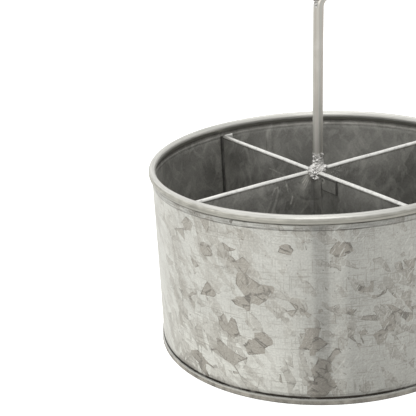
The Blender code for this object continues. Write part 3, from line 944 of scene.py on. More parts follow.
def spangled_zinc(finish):
    """Outer wall: smooth pale zinc with sharp taupe flakes, fine hatching, painted highlight at the left
    and painted dark reflection and shade in front.
    """
    f = Finish("spangled_zinc", 0.38, 0.72)
    pale = tuple(finish.pale_zinc)
    flake = tuple(finish.flake)
    across = f.reach(TO_RIGHT)
    facing = f.reach(TO_VIEWER)
    height = f.height()
    low_left = f.span(f.plus(across, f.times(height, 0.8)), 0.040, -0.012)
    colour = pale_ground(f, pale, across, height, low_left)

    crowd = f.minus(f.noise(f.sheet, 30.0, 1.0), 0.5)
    crisp = f.jagged(f.jagged(f.sheet, 45.0, 0.0060, 1.0), 650.0, 0.0009, 3.0)
    patterns = (
        flake_pattern(f, crisp, FLAKE_SCALE),
        flake_pattern(f, f.stretched(crisp, (1.0, 2.0, 1.0), math.radians(32.0)), 88.0),
        flake_pattern(f, f.stretched(crisp, (2.3, 0.85, 1.0), math.radians(-17.0)), 100.0),
    )
    grain = f.noise(f.stretched(f.sheet, (1.0, 9.0, 1.0), f.times(patterns[0].lot, 3.1)), 230.0, 3.0)
    flakes = f.ramp(grain, ((0.28, shade_of(flake, 0.86)), (0.72, shade_of(flake, 1.32))))
    colour = lay_flakes(f, finish, colour, flakes, crowd, low_left, patterns)
    colour = lay_fine_marks(f, finish, colour, flakes, crowd, across, patterns)
    mottle = f.noise(f.sheet, 950.0, 3.0, 0.6)
    colour = f.tinted(colour, f.ramp(mottle, ((0.30, 0.87), (0.70, 1.10))))
    # Painted highlight along the far left edge
    colour = f.lay(colour, shade_of(pale, 1.30), f.span(across, -0.072, -0.094), 0.45)

    # Painted dark reflection band with painted shade to its right, on the front half only
    uneven = f.times(f.minus(f.lines(90.0, 9.0), 0.5), 0.0024)
    shade_band = f.times(f.plus(f.plus(across, uneven), SHADE_BAND_LEFT), SHADE_BAND_SCALE)
    colour = f.lay(colour, f.tinted(colour, f.ramp(shade_band, SHADE_BAND_STOPS)), f.span(facing, 0.0, 0.03))
    bead = f.span(height, BEAD_LINE - 0.0003, BEAD_LINE + 0.0001)
    streaky = f.ramp(f.lines(70.0, 1500.0), ((0.35, 0.56), (0.65, 0.98)))
    colour = f.lay(colour, f.tinted(colour, streaky), bead)
    # Painted shade under the roll and under the bead
    colour = f.grime(colour, 0.0004, (ROLL_LINE, 0.0008, 0.90), (BEAD_LINE, 0.0006, 0.62))
    # Painted shadow in the gap above the base's lip
    foot = BASE_HIGH.z
    colour = f.grime(colour, 0.0003, (foot + 0.0005, 0.0010, 1.60), (foot + 0.0016, 0.0018, 0.35))
    rough = f.plus(f.times(grain, 0.20), 0.28)
    return f.dress(colour, rough, mottle, 0.00004)


def lay_spatter(f, colour, dull):
    """Scratches, the fan of spatter, rings of heat, beads and a drip round the crossing."""
    uneven_place = f.jagged(f.place, 260.0, 0.0010)
    for start, end, half_width, strength in SCRATCHES + STREAKS:
        mark = f.span(f.to_line(uneven_place, start, end), half_width, 0.2 * half_width)
        colour = f.lay(colour, shade_of(dull, 3.3), mark, strength)
    fan = f.span(f.to_line(uneven_place, *FAN_LINE), 0.0040, 0.0006)
    colour = f.lay(colour, shade_of(dull, 3.0), fan, 0.34)
    heat = f.distance(HEAT_SPOT)
    below = f.span(f.height(), 0.0935, 0.0870)
    colour = f.lay(colour, shade_of(dull, 0.45), f.times(f.near(heat, 0.0124, 0.0010), below), 0.34)
    colour = f.lay(colour, shade_of(dull, 1.7), f.times(f.near(heat, 0.0138, 0.0008), below), 0.22)
    splashed = f.span(f.distance(SPLASH_SPOT), 0.0100, 0.0040)
    colour = f.lay(colour, shade_of(dull, 1.9), splashed, f.span(f.cells(f.place, 780.0)[0], 0.42, 0.18))
    drip = f.distance(DRIP_SPOT)
    colour = f.lay(colour, shade_of(dull, 2.3), f.near(drip, 0.0016, 0.0007), 0.60)
    return f.lay(colour, shade_of(dull, 0.25), f.span(drip, 0.0010, 0.0004))


def lay_joint_lines(f, colour, dull):
    """Painted shadow round the patch plate, a light line at the inner flange's edge, painted shade in its
    fold and on the long divider.
    """
    beside, along, height = f.split(f.place)
    # Painted shadow round the patch plate
    middle = 0.5 * (PLATE_LOW + PLATE_HIGH)
    out_y = f.minus(f.apart(along, middle.y), PLATE_HIGH.y - middle.y)
    out_z = f.minus(f.apart(height, middle.z), PLATE_HIGH.z - middle.z)
    outline = f.times(f.near(f.larger(out_y, out_z), -0.0003, 0.0007), f.span(beside, -0.0030, -0.0036))
    flange_end = f.times(f.near(along, LEFT_LOW.y, 0.0005), f.span(height, 0.0900, 0.0850))
    colour = f.lay(colour, shade_of(dull, 1.35), flange_end, f.span(beside, 0.0, -0.0036))
    colour = f.lay(colour, shade_of(dull, 0.18), outline, 0.70)
    # Painted shade in the inner flange's fold
    fold = f.span(f.distance_in_plan(-0.0056, -0.0014), 0.0016, 0.0008)
    colour = f.lay(colour, shade_of(dull, 0.45), fold, 0.30)
    # Painted shade on the long divider's face, more towards the near end
    on_long = f.times(f.span(beside, -0.0034, -0.0040), f.span(beside, -0.0068, -0.0058))
    more_near = f.ramp(f.span(along, 0.01, -0.02), ((0.0, 0.10), (1.0, 0.24)))
    return f.lay(colour, shade_of(dull, 0.50), on_long, more_near)


def lay_wall_shades(f, colour, dull):
    """Painted light on the rear wall, painted shade under the roll, at the bead, in the corners and under
    the hems, and a darker foot.
    """
    beside, along, height = f.split(f.place)
    by_wall = f.span(f.distance_in_plan(0.0, 0.0), 0.0955, 0.0965)
    # Painted light on the rear of the wall inside
    rear = f.times(f.times(by_wall, f.span(along, 0.0, 0.05)), f.span(beside, -0.01, 0.03))
    colour = f.lay(colour, shade_of(dull, 1.7), rear, 0.22)
    # Painted shade under the roll and at the bead
    under_roll = f.times(by_wall, f.span(height, TUB_HIGH.z - 0.0080, TUB_HIGH.z - 0.0070))
    colour = f.lay(colour, WALL_SHADE, under_roll, 0.55)
    bead_line = f.times(by_wall, f.near(height, TUB_HIGH.z - 0.0084, 0.0010))
    colour = f.lay(colour, WALL_SHADE, bead_line, 0.38)
    # Painted shade in the corners where the dividers meet the wall
    for corner in DARK_CORNERS:
        crevice = f.span(f.distance_in_plan(*corner), 0.0015, 0.0006)
        colour = f.lay(colour, CORNER_SHADE, crevice, 0.78)
    # Painted shade lines under the dividers' hems and under the roll
    hem_line = LONG_HIGH.z - 0.0020
    inner_line = TUB_HIGH.z - 0.0052
    colour = f.grime(colour, 0.0005, (hem_line, 0.0008, 0.50), (inner_line, 0.0012, 0.35))
    return f.lay(colour, shade_of(dull, 0.55), f.span(height, 0.020, 0.003))


def weathered_zinc(finish):
    """Inside of the tub and the dividers' faces: dull grey zinc, rubbed, scratched and stained by heat."""
    f = Finish("weathered_zinc", 0.50, 0.55)
    dull = tuple(finish.dull_zinc)
    clouds = f.noise(f.sheet, 30.0, 5.0, 0.60, 0.5)
    colour = f.ramp(clouds, ((0.28, shade_of(dull, 0.66)), (0.50, dull), (0.72, shade_of(dull, 1.55))))
    rubbed = f.noise(f.stretched(f.jagged(f.sheet, 60.0, 0.010), (2.2, 0.7, 1.0), 0.45), 75.0, 3.0)
    colour = f.lay(colour, shade_of(dull, 1.80), f.span(rubbed, 0.51, 0.62), 0.42)
    brushed = f.noise(f.stretched(f.jagged(f.sheet, 50.0, 0.010), (3.6, 0.8, 1.0), -0.55), 90.0, 2.0)
    colour = f.lay(colour, shade_of(dull, 1.85), f.span(brushed, 0.54, 0.63), 0.30)
    lot = f.cells(f.jagged(f.sheet, 150.0, 0.0030), 120.0)[2]
    colour = f.tinted(colour, f.ramp(lot, ((0.0, 0.88), (1.0, 1.10))))
    grain = f.noise(f.sheet, 800.0, 3.0)
    colour = f.tinted(colour, f.ramp(grain, ((0.30, 0.84), (0.70, 1.14))))
    colour = lay_spatter(f, colour, dull)
    colour = lay_joint_lines(f, colour, dull)
    colour = lay_wall_shades(f, colour, dull)
    rough = f.plus(f.times(clouds, 0.30), 0.34)
    return f.dress(colour, rough, f.plus(grain, clouds), 0.00008)


def worn_zinc(finish):
    """Hems and cut edges: bright where hands and cutlery rub them, with grey spots."""
    f = Finish("worn_zinc", 0.36, 0.70)
    worn = tuple(finish.worn_edge)
    spots = f.noise(f.place, 230.0, 5.0, 0.65)
    colour = f.ramp(spots, ((0.32, shade_of(worn, 0.74)), (0.46, worn), (0.70, shade_of(worn, 1.12))))
    fine = f.noise(f.place, 900.0, 2.0)
    colour = f.lay(colour, shade_of(worn, 0.55), f.span(fine, 0.58, 0.80), 0.30)
    colour = f.tinted(colour, f.ramp(f.lines(30.0, 2400.0, 2.0), ((0.35, 0.90), (0.65, 1.05))))
    rough = f.plus(f.times(spots, 0.26), 0.25)
    return f.dress(colour, rough, f.plus(spots, fine), 0.00003)


def rolled_zinc(finish):
    """Rolled rim: brushed bright crown, partly wear and partly painted highlight; mottled flank outside
    with painted shade to the right; painted shade on the flank inside.
    """
    f = Finish("rolled_zinc", 0.36, 0.70)
    clean = toned(finish.worn_edge, (1.00, 0.996, 0.975))
    worn = toned(clean, (1.00, 0.985, 0.930))
    across = f.reach(TO_RIGHT)
    facing = f.reach(TO_VIEWER)
    height = f.height()
    brushed = f.lines(26.0, 1300.0)
    spots = f.lines(150.0, 420.0, 4.0, 0.6)

    bright = f.ramp(brushed, ((0.34, shade_of(clean, 0.68)), (0.62, shade_of(clean, 0.90))))
    bright = f.lay(bright, shade_of(clean, 0.60), f.span(spots, 0.56, 0.70), 0.30)
    # Painted shade dulling the crown at the front right
    front_right = f.times(f.span(across, -0.050, -0.012), f.span(facing, 0.0, 0.03))
    bright = f.lay(bright, shade_of(clean, 0.40), front_right, 0.30)

    flank = f.ramp(spots, ((0.32, shade_of(worn, 0.46)), (0.64, shade_of(worn, 0.68))))
    # Painted shade on the flank towards the right
    flank = f.lay(flank, shade_of(worn, 0.26), f.span(across, -0.045, 0.012), 0.60)
    flank = f.tinted(flank, f.ramp(brushed, ((0.34, 0.72), (0.64, 1.18))))
    flank = f.lay(flank, shade_of(worn, 0.54), f.span(height, TUB_HIGH.z - 0.0030, TUB_HIGH.z - 0.0046))
    # Painted shade on the flank inside
    outside = f.span(f.distance_in_plan(0.0, 0.0), TUB_HIGH.x - 0.0030, TUB_HIGH.x - 0.0018)
    flank = f.mix(outside, shade_of(worn, 0.44), flank)

    # The crown's bright band, partly wear and partly painted highlight, reaches lower inside and is
    # narrower at the left
    crown = f.plus(height, f.times(f.minus(spots, 0.5), 0.0014))
    crown = f.plus(crown, f.times(f.minus(1.0, outside), 0.0022))
    crown = f.minus(crown, f.times(f.span(across, -0.030, -0.080), 0.0007))
    colour = f.mix(f.span(crown, TUB_HIGH.z - 0.0024, TUB_HIGH.z - 0.0011), flank, bright)
    # Painted shade line under the roll, outside
    colour = f.lay(colour, f.grime(colour, 0.0003, (ROLL_LINE, 0.0007, 0.85)), outside)
    rough = f.plus(f.times(brushed, 0.22), 0.26)
    return f.dress(colour, rough, brushed, 0.00003)


def grimy_and_shaded_zinc(finish):
    """Base lip: pale along its cut edge, grey-brown, with painted shade near the floor and to the right.
    """
    f = Finish("grimy_and_shaded_zinc", 0.46, 0.62)
    flake = tuple(finish.flake)
    across = f.reach(TO_RIGHT)
    height = f.height()
    spots = f.noise(f.stretched(f.place, (1.0, 1.0, 0.6)), 150.0, 5.0, 0.65)
    stops = ((0.32, shade_of(flake, 0.50)), (0.50, shade_of(flake, 0.98)), (0.72, shade_of(flake, 1.50)))
    colour = f.ramp(spots, stops)
    edge = f.span(height, BASE_HIGH.z - 0.0012, BASE_HIGH.z - 0.0004)
    colour = f.lay(colour, shade_of(finish.pale_zinc, 1.05), edge, 0.75)
    # Painted shade near the floor and towards the right
    colour = f.lay(colour, shade_of(flake, 0.40), f.span(height, 0.0012, 0.0002), 0.6)
    colour = f.lay(colour, shade_of(flake, 0.34), f.span(across, -0.060, 0.0), 0.40)
    fine = f.noise(f.place, 800.0, 2.0)
    rough = f.plus(f.times(spots, 0.30), 0.30)
    return f.dress(colour, rough, f.plus(spots, fine), 0.00005)


def drawn_rod(finish):
    """Drawn rod: lengthwise stripes of warm and cool grey, a painted dark reflection line, and a painted
    highlight low on one side.
    """
    f = Finish("drawn_rod", 0.34, 0.80)
    rod = tuple(finish.rod)
    lines = f.lines(3200.0, 30.0)
    stops = ((0.34, toned(rod, (0.86, 0.81, 0.77))), (0.62, toned(rod, (1.06, 1.09, 1.06))))
    colour = f.ramp(f.lines(900.0, 7.0, 2.0), stops)
    colour = f.tinted(colour, f.ramp(lines, ((0.30, 0.88), (0.70, 1.12))))
    colour = f.lay(colour, shade_of(rod, 1.25), f.span(f.noise(f.place, 90.0, 4.0), 0.45, 0.75), 0.4)
    round_rod = f.split(f.sheet)[0]
    # Painted dark reflection line down the rod
    colour = f.lay(colour, shade_of(rod, 0.52), f.near(round_rod, 4.46 * ROD_HIGH.y, 0.0013), 0.42)
    # Painted highlight low on the lit side
    lit_side = f.times(f.near(round_rod, 3.75 * ROD_HIGH.y, 0.0020), f.span(f.height(), 0.150, 0.118))
    colour = f.lay(colour, shade_of(rod, 1.45), lit_side, 0.60)
    rough = f.plus(f.times(lines, 0.18), 0.26)
    return f.dress(colour, rough, lines, 0.00003)


def weld_metal(finish):
    """Weld: bright smeared crests, dark scale in the creases, greyer round the rod."""
    f = Finish("weld_metal", 0.36, 0.30)
    weld = tuple(finish.weld)
    height = f.height()
    scale = f.noise(f.place, 1000.0, 3.0, 0.6)
    smears = f.noise(f.stretched(f.in_xz(), (1.0, 5.0, 1.0), math.radians(-32.0)), 420.0, 2.0, 0.5, 0.6)

    def metal(where, *stops):
        """Weld metal in shades of its own colour."""
        return f.ramp(where, tuple((place, shade_of(weld, factor)) for place, factor in stops))

    colour = metal(smears, (0.38, 0.42), (0.50, 1.0), (0.60, 1.60))
    colour = f.lay(colour, shade_of(weld, 0.30), f.span(scale, 0.50, 0.34), 0.65)
    collar = metal(scale, (0.34, 0.30), (0.50, 0.55), (0.64, 1.5))
    colour = f.lay(colour, collar, f.span(height, LONG_HIGH.z + 0.0010, LONG_HIGH.z + 0.0026))
    low_spots = metal(scale, (0.36, 0.70), (0.58, 1.80))
    colour = f.lay(colour, low_spots, f.span(height, LONG_HIGH.z - 0.0025, LONG_HIGH.z - 0.0055), 0.8)
    rough = f.plus(f.times(scale, 0.30), 0.20)
    return f.dress(colour, rough, scale, 0.00010)


def finishes_of(*makers):
    """Finishes by their makers, each made the first time it is asked for."""
    settings = bpy.context.scene.caddy_finish
    return [bpy.data.materials.get(maker.__name__) or maker(settings) for maker in makers]


# Pieces

def tub_midline(sheet, tub):
    """Middle line of the wall's sheet, with its bead and roll, and the bead's foot and top."""
    wall = BASE_HIGH.x - sheet.thickness - sheet.clearance - 0.5 * sheet.thickness
    roll_radius = TUB_HIGH.x - tub.roll_half_width
    roll_height = TUB_HIGH.z - tub.roll_half_height
    bead_top = TUB_HIGH.z - 2.0 * tub.roll_half_height - tub.bead_drop
    bead_low = bead_top - tub.bead_height
    ease = 0.0006
    points = spaced((wall, TUB_LOW.z), (wall, bead_low - ease), WALL_STEP)
    parts = (0.0, 0.25, 0.5, 0.75, 1.0)
    for part in parts:
        out = tub.bead_depth * smooth_step(0.0, 1.0, part)
        points.append((wall + out, bead_low - ease * (1.0 - part)))
    for part in parts:
        out = tub.bead_depth * (1.0 - smooth_step(0.0, 1.0, part))
        points.append((wall + out, bead_top + ease * part))
    wide = tub.roll_half_width - 0.5 * sheet.thickness
    tall = tub.roll_half_height - 0.5 * sheet.thickness
    steps = 30
    for i in range(steps + 1):
        angle = tub.roll_start + (tub.roll_end - tub.roll_start) * i / steps
        points.append((roll_radius + wide * math.cos(angle), roll_height + tall * math.sin(angle)))
    return points, bead_low, bead_top


def build_tub():
    """Wall, bead and rolled rim in one closed sheet, with the lock seam inside."""
    scene = bpy.context.scene
    sheet = scene.caddy_sheet
    tub = scene.caddy_tub
    midline, bead_low, bead_top = tub_midline(sheet, tub)
    outer, inner = thicken(midline, sheet.thickness)
    outline = outer + inner
    roll_foot = TUB_HIGH.z - 2.0 * tub.roll_half_height
    outside, within, rolled = range(3)
    roles = []
    for i, ((_, height), (_, next_height)) in enumerate(zip(outline, outline[1:] + outline[:1])):
        side = outside if i < len(outer) - 1 else within
        roles.append(rolled if 0.5 * (height + next_height) > roll_foot - 0.0004 else side)
    half = 0.5 * tub.seam_width / TUB_HIGH.x
    inside = range(len(outer), len(outline))

    def shift(angle, radius, height, index):
        """Soft dents, an uneven rim and the lock seam."""
        turn = (angle - tub.seam_angle + math.pi) % math.tau - math.pi
        x = radius * math.cos(angle)
        y = radius * math.sin(angle)
        calm = smooth_step(0.004, 0.02, height) * (1.0 - smooth_step(bead_low - 0.012, bead_low, height))
        out = sheet.waviness * calm * (ripple(x, y, height, 0.034) + 0.5 * ripple(x, y, height, 0.013))
        up = 0.0
        if height > bead_top:
            lift = smooth_step(bead_top, roll_foot + 0.001, height)
            out += lift * RIM_WAVE * (ripple(x, y, 3.1, 0.030) - 1.0)
            up += lift * RIM_WAVE * (ripple(x, y, 7.7, 0.022) - 1.0)
        if index in inside:
            band = 1.0 - smooth_step(0.88 * half, 1.12 * half, abs(turn))
            ends = smooth_step(0.0030, 0.0036, height)
            ends *= 1.0 - smooth_step(bead_low - 0.0100, bead_low, height)
            out -= sheet.thickness * band * ends
        elif abs(turn) < 1.3 * half and height < roll_foot:
            out -= SEAM_GROOVE * (1.0 - smooth_step(0.0, 0.5 * half, abs(abs(turn) - half)))
        return out, up

    bm = turned(outline, roles, column_angles(tub, sheet.turns), shift)
    finishes = finishes_of(spangled_zinc, weathered_zinc, rolled_zinc)
    add_piece("tub_shell", bm, finishes, "tub_wall")


def build_base():
    """Pressed base pan with its lip, standing ring and raised panel."""
    scene = bpy.context.scene
    sheet = scene.caddy_sheet
    tub = scene.caddy_tub
    low = 0.5 * sheet.thickness
    lip = BASE_HIGH.x - low
    ring_edge = lip - tub.lip_bend - tub.standing_ring
    panel_edge = ring_edge - tub.panel_slope
    points = spaced((0.0, low + tub.panel_rise), (panel_edge, low + tub.panel_rise), PANEL_STEP)
    for i in range(6):
        part = i / 5
        drop = tub.panel_rise * (1.0 - smooth_step(0.0, 1.0, part))
        points.append((panel_edge + tub.panel_slope * part, low + drop))
    points += spaced((ring_edge, low), (lip - tub.lip_bend, low), RING_STEP)[1:]
    points += arc((lip - tub.lip_bend, low + tub.lip_bend), tub.lip_bend, -0.5 * math.pi, 0.0, 8)
    points += spaced((lip, low + tub.lip_bend), (lip, tub.lip_height), LIP_STEP)[1:]
    points.append((lip, tub.lip_height))
    under, over = thicken(points, sheet.thickness)
    outline = under + over
    outside, within, lip_side, cut_edge = range(4)
    roles = []
    for i, (radius, height) in enumerate(outline):
        onward = outline[(i + 1) % len(outline)]
        if min(radius, onward[0]) > lip - tub.lip_bend:
            cut = abs(height - onward[1]) < 1e-5 and height > 0.003
            roles.append(cut_edge if cut else lip_side)
        else:
            roles.append(outside if i < len(under) else within)

    def shift(angle, radius, height, _):
        """Soft dents in the raised panel."""
        if height > 0.0030 or radius < 0.001:
            return 0.0, 0.0
        x = radius * math.cos(angle)
        y = radius * math.sin(angle)
        calm = 1.0 - smooth_step(0.6 * panel_edge, panel_edge, radius)
        return 0.0, calm * PANEL_WAVE * (ripple(x, y, 1.3, 0.040) - 1.0)

    angles = [math.tau * i / sheet.turns for i in range(sheet.turns)]
    bm = turned(outline, roles, angles, shift)
    finishes = finishes_of(spangled_zinc, weathered_zinc, grimy_and_shaded_zinc, worn_zinc)
    add_piece("base_shell", bm, finishes, "base_pan")


def hemmed_section(sheet, dividers, bottom, top):
    """Upright sheet section whose top edge is folded over to the right, and its roles."""
    half = 0.5 * sheet.thickness
    side = 1.5 * sheet.thickness + dividers.hem_slot
    round_radius = 0.5 * (side + half)
    centre = (side - round_radius, top - round_radius)
    slot_top = top - 1.5 * sheet.thickness
    hem_foot = top - dividers.hem_depth
    dull, worn = range(2)
    section = spaced((-half, bottom), (-half, top - round_radius), SHEET_STEP)
    roles = [dull] * len(section)
    section += arc(centre, round_radius, math.pi, 0.0, 14) + [(side, hem_foot)]
    roles += [worn] * (len(section) - len(roles))
    slot_side = half + dividers.hem_slot
    section += [(slot_side, hem_foot), (slot_side, slot_top)]
    section += spaced((half, slot_top), (half, bottom), SHEET_STEP) + [(half, bottom)]
    roles += [dull] * (len(section) - len(roles))
    return section, roles


def wall_flange(sheet, dividers, line_offset):
    """Bend and flange where a sheet at X = line_offset meets the wall at +Y and turns to +X."""
    flange_radius = BASE_HIGH.x - 2.5 * sheet.thickness - 2.0 * sheet.clearance
    reach = flange_radius - dividers.wall_bend
    across = line_offset + dividers.wall_bend
    centre = (across, math.sqrt(reach * reach - across * across))
    turn = math.atan2(centre[1], centre[0])
    points = arc(centre, dividers.wall_bend, math.pi, turn, 10)
    points += arc((0.0, 0.0), flange_radius, turn, turn - dividers.wall_flange / flange_radius, 6)[1:]
    return points


def notch(dividers, inner_x, mirrored):
    """Room above an inner flange, where the hem stops short."""
    reach = dividers.inner_flange
    hem_end = inner_x - dividers.bend - dividers.hem_end_gap
    low = Vector((hem_end, -2.0 * reach, LONG_HIGH.z - dividers.inner_flange_drop))
    high = Vector((inner_x + reach, reach, LONG_HIGH.z + dividers.hem_depth))
    if mirrored:
        low.x, high.x = -high.x, -low.x
    bm = bmesh.new()
    bmesh.ops.create_cube(bm, size=1.0, matrix=Matrix.LocRotScale(0.5 * (low + high), None, high - low))
    return bm


def rod_socket(sheet):
    """Clearance round the rod's foot."""
    bm = bmesh.new()
    radius = 1.02 * (ROD_HIGH.y + sheet.clearance)
    depth = 0.030
    bmesh.ops.create_cone(bm, cap_ends=True, segments=48, radius1=radius, radius2=radius, depth=depth)
    middle = ROD_LOW.z - sheet.clearance + 0.5 * depth
    bmesh.ops.translate(bm, vec=(0.0, 0.0, middle), verts=bm.verts)
    return bm


def build_divider(name, node, path, mirrored, calm_ends, wall_ends, cutters):
    """One hemmed divider along a plan path, with shapes cut out of it."""
    scene = bpy.context.scene
    sheet = scene.caddy_sheet
    dividers = scene.caddy_dividers
    section, roles = hemmed_section(sheet, dividers, LONG_LOW.z, LONG_HIGH.z)
    total = lengths_along(path)[-1]
    seed = len(name) * 1.7

    def shift(reach, height):
        """Bow of the face between its held ends, and an uneven top."""
        calm = 1.0
        for spot in calm_ends:
            calm *= smooth_step(0.008, 0.030, abs(reach - spot * total))
        side = sheet.bow * calm * ripple(reach, height, seed, 0.045)
        near_top = smooth_step(LONG_HIGH.z - 0.006, LONG_HIGH.z - 0.001, height)
        up = near_top * HEM_WAVE * (ripple(reach, seed, 0.5, 0.018) - 1.0)
        return side, up

    def squeeze(reach, offset):
        """The hem pressed flatter on a wall flange."""
        nearest = min(abs(reach - spot * total) for spot in wall_ends)
        flat = 1.0 - smooth_step(dividers.wall_flange, dividers.wall_flange + 0.006, nearest)
        proud = max(offset - 0.5 * sheet.thickness, 0.0)
        return offset - proud * flat * (1.0 - dividers.pressed_hem)

    bm = swept(path, section, roles, shift, squeeze)
    if mirrored:
        bmesh.ops.scale(bm, vec=(-1.0, 1.0, 1.0), verts=bm.verts)
    piece = add_piece(name, bm, finishes_of(weathered_zinc, worn_zinc), node)
    for cutter in cutters:
        cut_away(piece, cutter)


def build_dividers():
    """The long divider and the two half dividers."""
    scene = bpy.context.scene
    sheet = scene.caddy_sheet
    dividers = scene.caddy_dividers
    plane = LONG_LOW.x + 0.5 * sheet.thickness
    far_end = wall_flange(sheet, dividers, plane)
    near_end = [(x, -y) for x, y in reversed(far_end)]
    path = near_end + spaced(near_end[-1], far_end[0], DIVIDER_STEP)[1:] + far_end
    ends = (0.0, 1.0)
    cutters = [rod_socket(sheet)]
    build_divider("long_divider_sheet", "long_divider", path, False, (0.0, 0.5, 1.0), ends, cutters)
    left_x = LEFT_HIGH.x - 0.5 * sheet.thickness + 0.8 * sheet.clearance
    right_x = -(RIGHT_LOW.x + 0.5 * sheet.thickness)
    wall_end = [(-y, x) for x, y in wall_flange(sheet, dividers, 0.0)]
    for name, node, inner_x, mirrored in (
        ("left_divider_sheet", "left_half_divider", left_x, False),
        ("right_divider_sheet", "right_half_divider", right_x, True),
    ):
        corner = (inner_x - dividers.bend, -dividers.bend)
        inner = spaced((inner_x, -dividers.inner_flange), (inner_x, -dividers.bend), FLANGE_STEP)
        inner += arc(corner, dividers.bend, 0.0, 0.5 * math.pi, 10)
        path = inner + spaced(inner[-1], wall_end[0], DIVIDER_STEP)[1:] + wall_end
        cutters = [notch(dividers, inner_x, mirrored), rod_socket(sheet)]
        build_divider(name, node, path, mirrored, ends, (1.0,), cutters)


def build_plate():
    """Patch plate with one clipped corner on the front of the long divider."""
    clip = bpy.context.scene.caddy_dividers.plate_corner
    near = PLATE_HIGH.y
    far = PLATE_LOW.y
    low = PLATE_LOW.z
    top = PLATE_HIGH.z
    outline = [(near, top), (far, top), (far, low), (near - clip, low), (near, low + clip)]
    bm = new_sheet()
    back = bm.faces.new([bm.verts.new((PLATE_HIGH.x, y, z)) for y, z in outline])
    grown = bmesh.ops.extrude_face_region(bm, geom=[back])
    front = [g for g in grown["geom"] if isinstance(g, bmesh.types.BMVert)]
    bmesh.ops.translate(bm, vec=(PLATE_LOW.x - PLATE_HIGH.x, 0.0, 0.0), verts=front)
    bmesh.ops.bevel(bm, geom=list(bm.edges), offset=0.0002, segments=3, affect="EDGES")
    bmesh.ops.recalc_face_normals(bm, faces=bm.faces)
    sheet_map = bm.loops.layers.uv["sheet"]
    for face in bm.faces:
        for loop in face.loops:
            loop[sheet_map].uv = (loop.vert.co.y, loop.vert.co.z)
    add_piece("patch_plate", bm, finishes_of(weathered_zinc), "joint_plate")


def handle_path(handle):
    """Middle line of the rod: up the stem, round the neck and once round the ring."""
    rod = ROD_HIGH.y
    ring = ROD_HIGH.x - rod
    ring_height = ROD_HIGH.z - rod - ring
    rise = math.sqrt(ring * (ring + 2.0 * handle.neck_bend))
    neck = ring_height - rise
    leave = math.atan2(rise, -handle.neck_bend)
    points = spaced((0.0, ROD_LOW.z), (0.0, neck), ROD_STEP)
    points += arc((handle.neck_bend, neck), handle.neck_bend, math.pi, leave, 12)
    steps = 120
    for i in range(1, steps + 1):
        angle = leave - math.pi + (handle.ring_end - leave + math.pi) * i / steps
        reach = ring - handle.ring_drift * smooth_step(handle.ring_end - 1.2, handle.ring_end, angle)
        points.append((reach * math.cos(angle), ring_height + reach * math.sin(angle)))
    return points


def lean_at(handle, height):
    """How far the hand-set rod has leant at a height."""
    part = max(height - LEAN_START, 0.0) / LEAN_SPAN
    return TO_RIGHT * (handle.lean * part ** LEAN_CURVE)


def build_handle():
    """The drawn rod with its ring."""
    handle = bpy.context.scene.caddy_handle
    bm = bar(handle_path(handle), ROD_HIGH.y, handle.sides)
    for vert in bm.verts:
        vert.co += lean_at(handle, vert.co.z)
    add_piece("handle_bar", bm, finishes_of(drawn_rod), "handle_rod", 50.0)


def add_ball(bm, centre, radii, detail=3):
    """Add an egg-shaped lump to a bmesh."""
    made = bmesh.ops.create_icosphere(bm, subdivisions=detail, radius=1.0)
    for vert in made["verts"]:
        vert.co = Vector(centre) + Vector(a * b for a, b in zip(vert.co, radii))


def add_smear(bm, start, end, radius):
    """Add a ridge of weld metal: a row of lumps, thickest in the middle."""
    steps = max(2, math.ceil(math.dist(start, end) / (0.6 * radius)))
    for i in range(steps + 1):
        part = i / steps
        size = radius * (0.60 + 0.40 * math.sin(math.pi * part))
        add_ball(bm, Vector(start).lerp(Vector(end), part), (size, size, size), 2)


def build_weld(name, node, bm, grain, depth, box_low, box_high):
    """Melt lumps into one rough body of weld metal, held inside a box."""
    bm.loops.layers.uv.new("sheet")
    piece = add_piece(name, bm, finishes_of(weld_metal), node, 180.0)
    melt = piece.modifiers.new("melt", "REMESH")
    melt.mode = "VOXEL"
    melt.voxel_size = grain
    apply_modifiers(piece)
    mesh = piece.data
    normals = [v.normal.copy() for v in mesh.vertices]
    for vert, normal in zip(mesh.vertices, normals):
        x, y, z = vert.co
        side = y * math.cos(FRONT_ANGLE) - x * math.sin(FRONT_ANGLE)
        across_ripples = RIPPLE_RISE * z - RIPPLE_RUN * side
        along_ripples = RIPPLE_RUN * z + RIPPLE_RISE * side
        crest = 1.0 - abs(ripple(across_ripples, 0.20 * along_ripples, 0.0, 0.0014))
        ridged = 1.0 - 0.8 * smooth_step(LONG_HIGH.z + 0.001, LONG_HIGH.z + 0.003, z)
        swell = depth * ridged * (crest - 0.85) + 0.55 * depth * (ripple(x, y, z, 0.0009) - 0.3)
        moved = vert.co + normal * swell
        vert.co = [min(max(c, lo), hi) for c, lo, hi in zip(moved, box_low, box_high)]
    mesh.shade_smooth()


def seen_from_front(across, towards, height):
    """A point given by how far right, how near the viewer and how high above the dividers it is."""
    return TO_RIGHT * across + TO_VIEWER * towards + Vector((0.0, 0.0, LONG_HIGH.z + height))


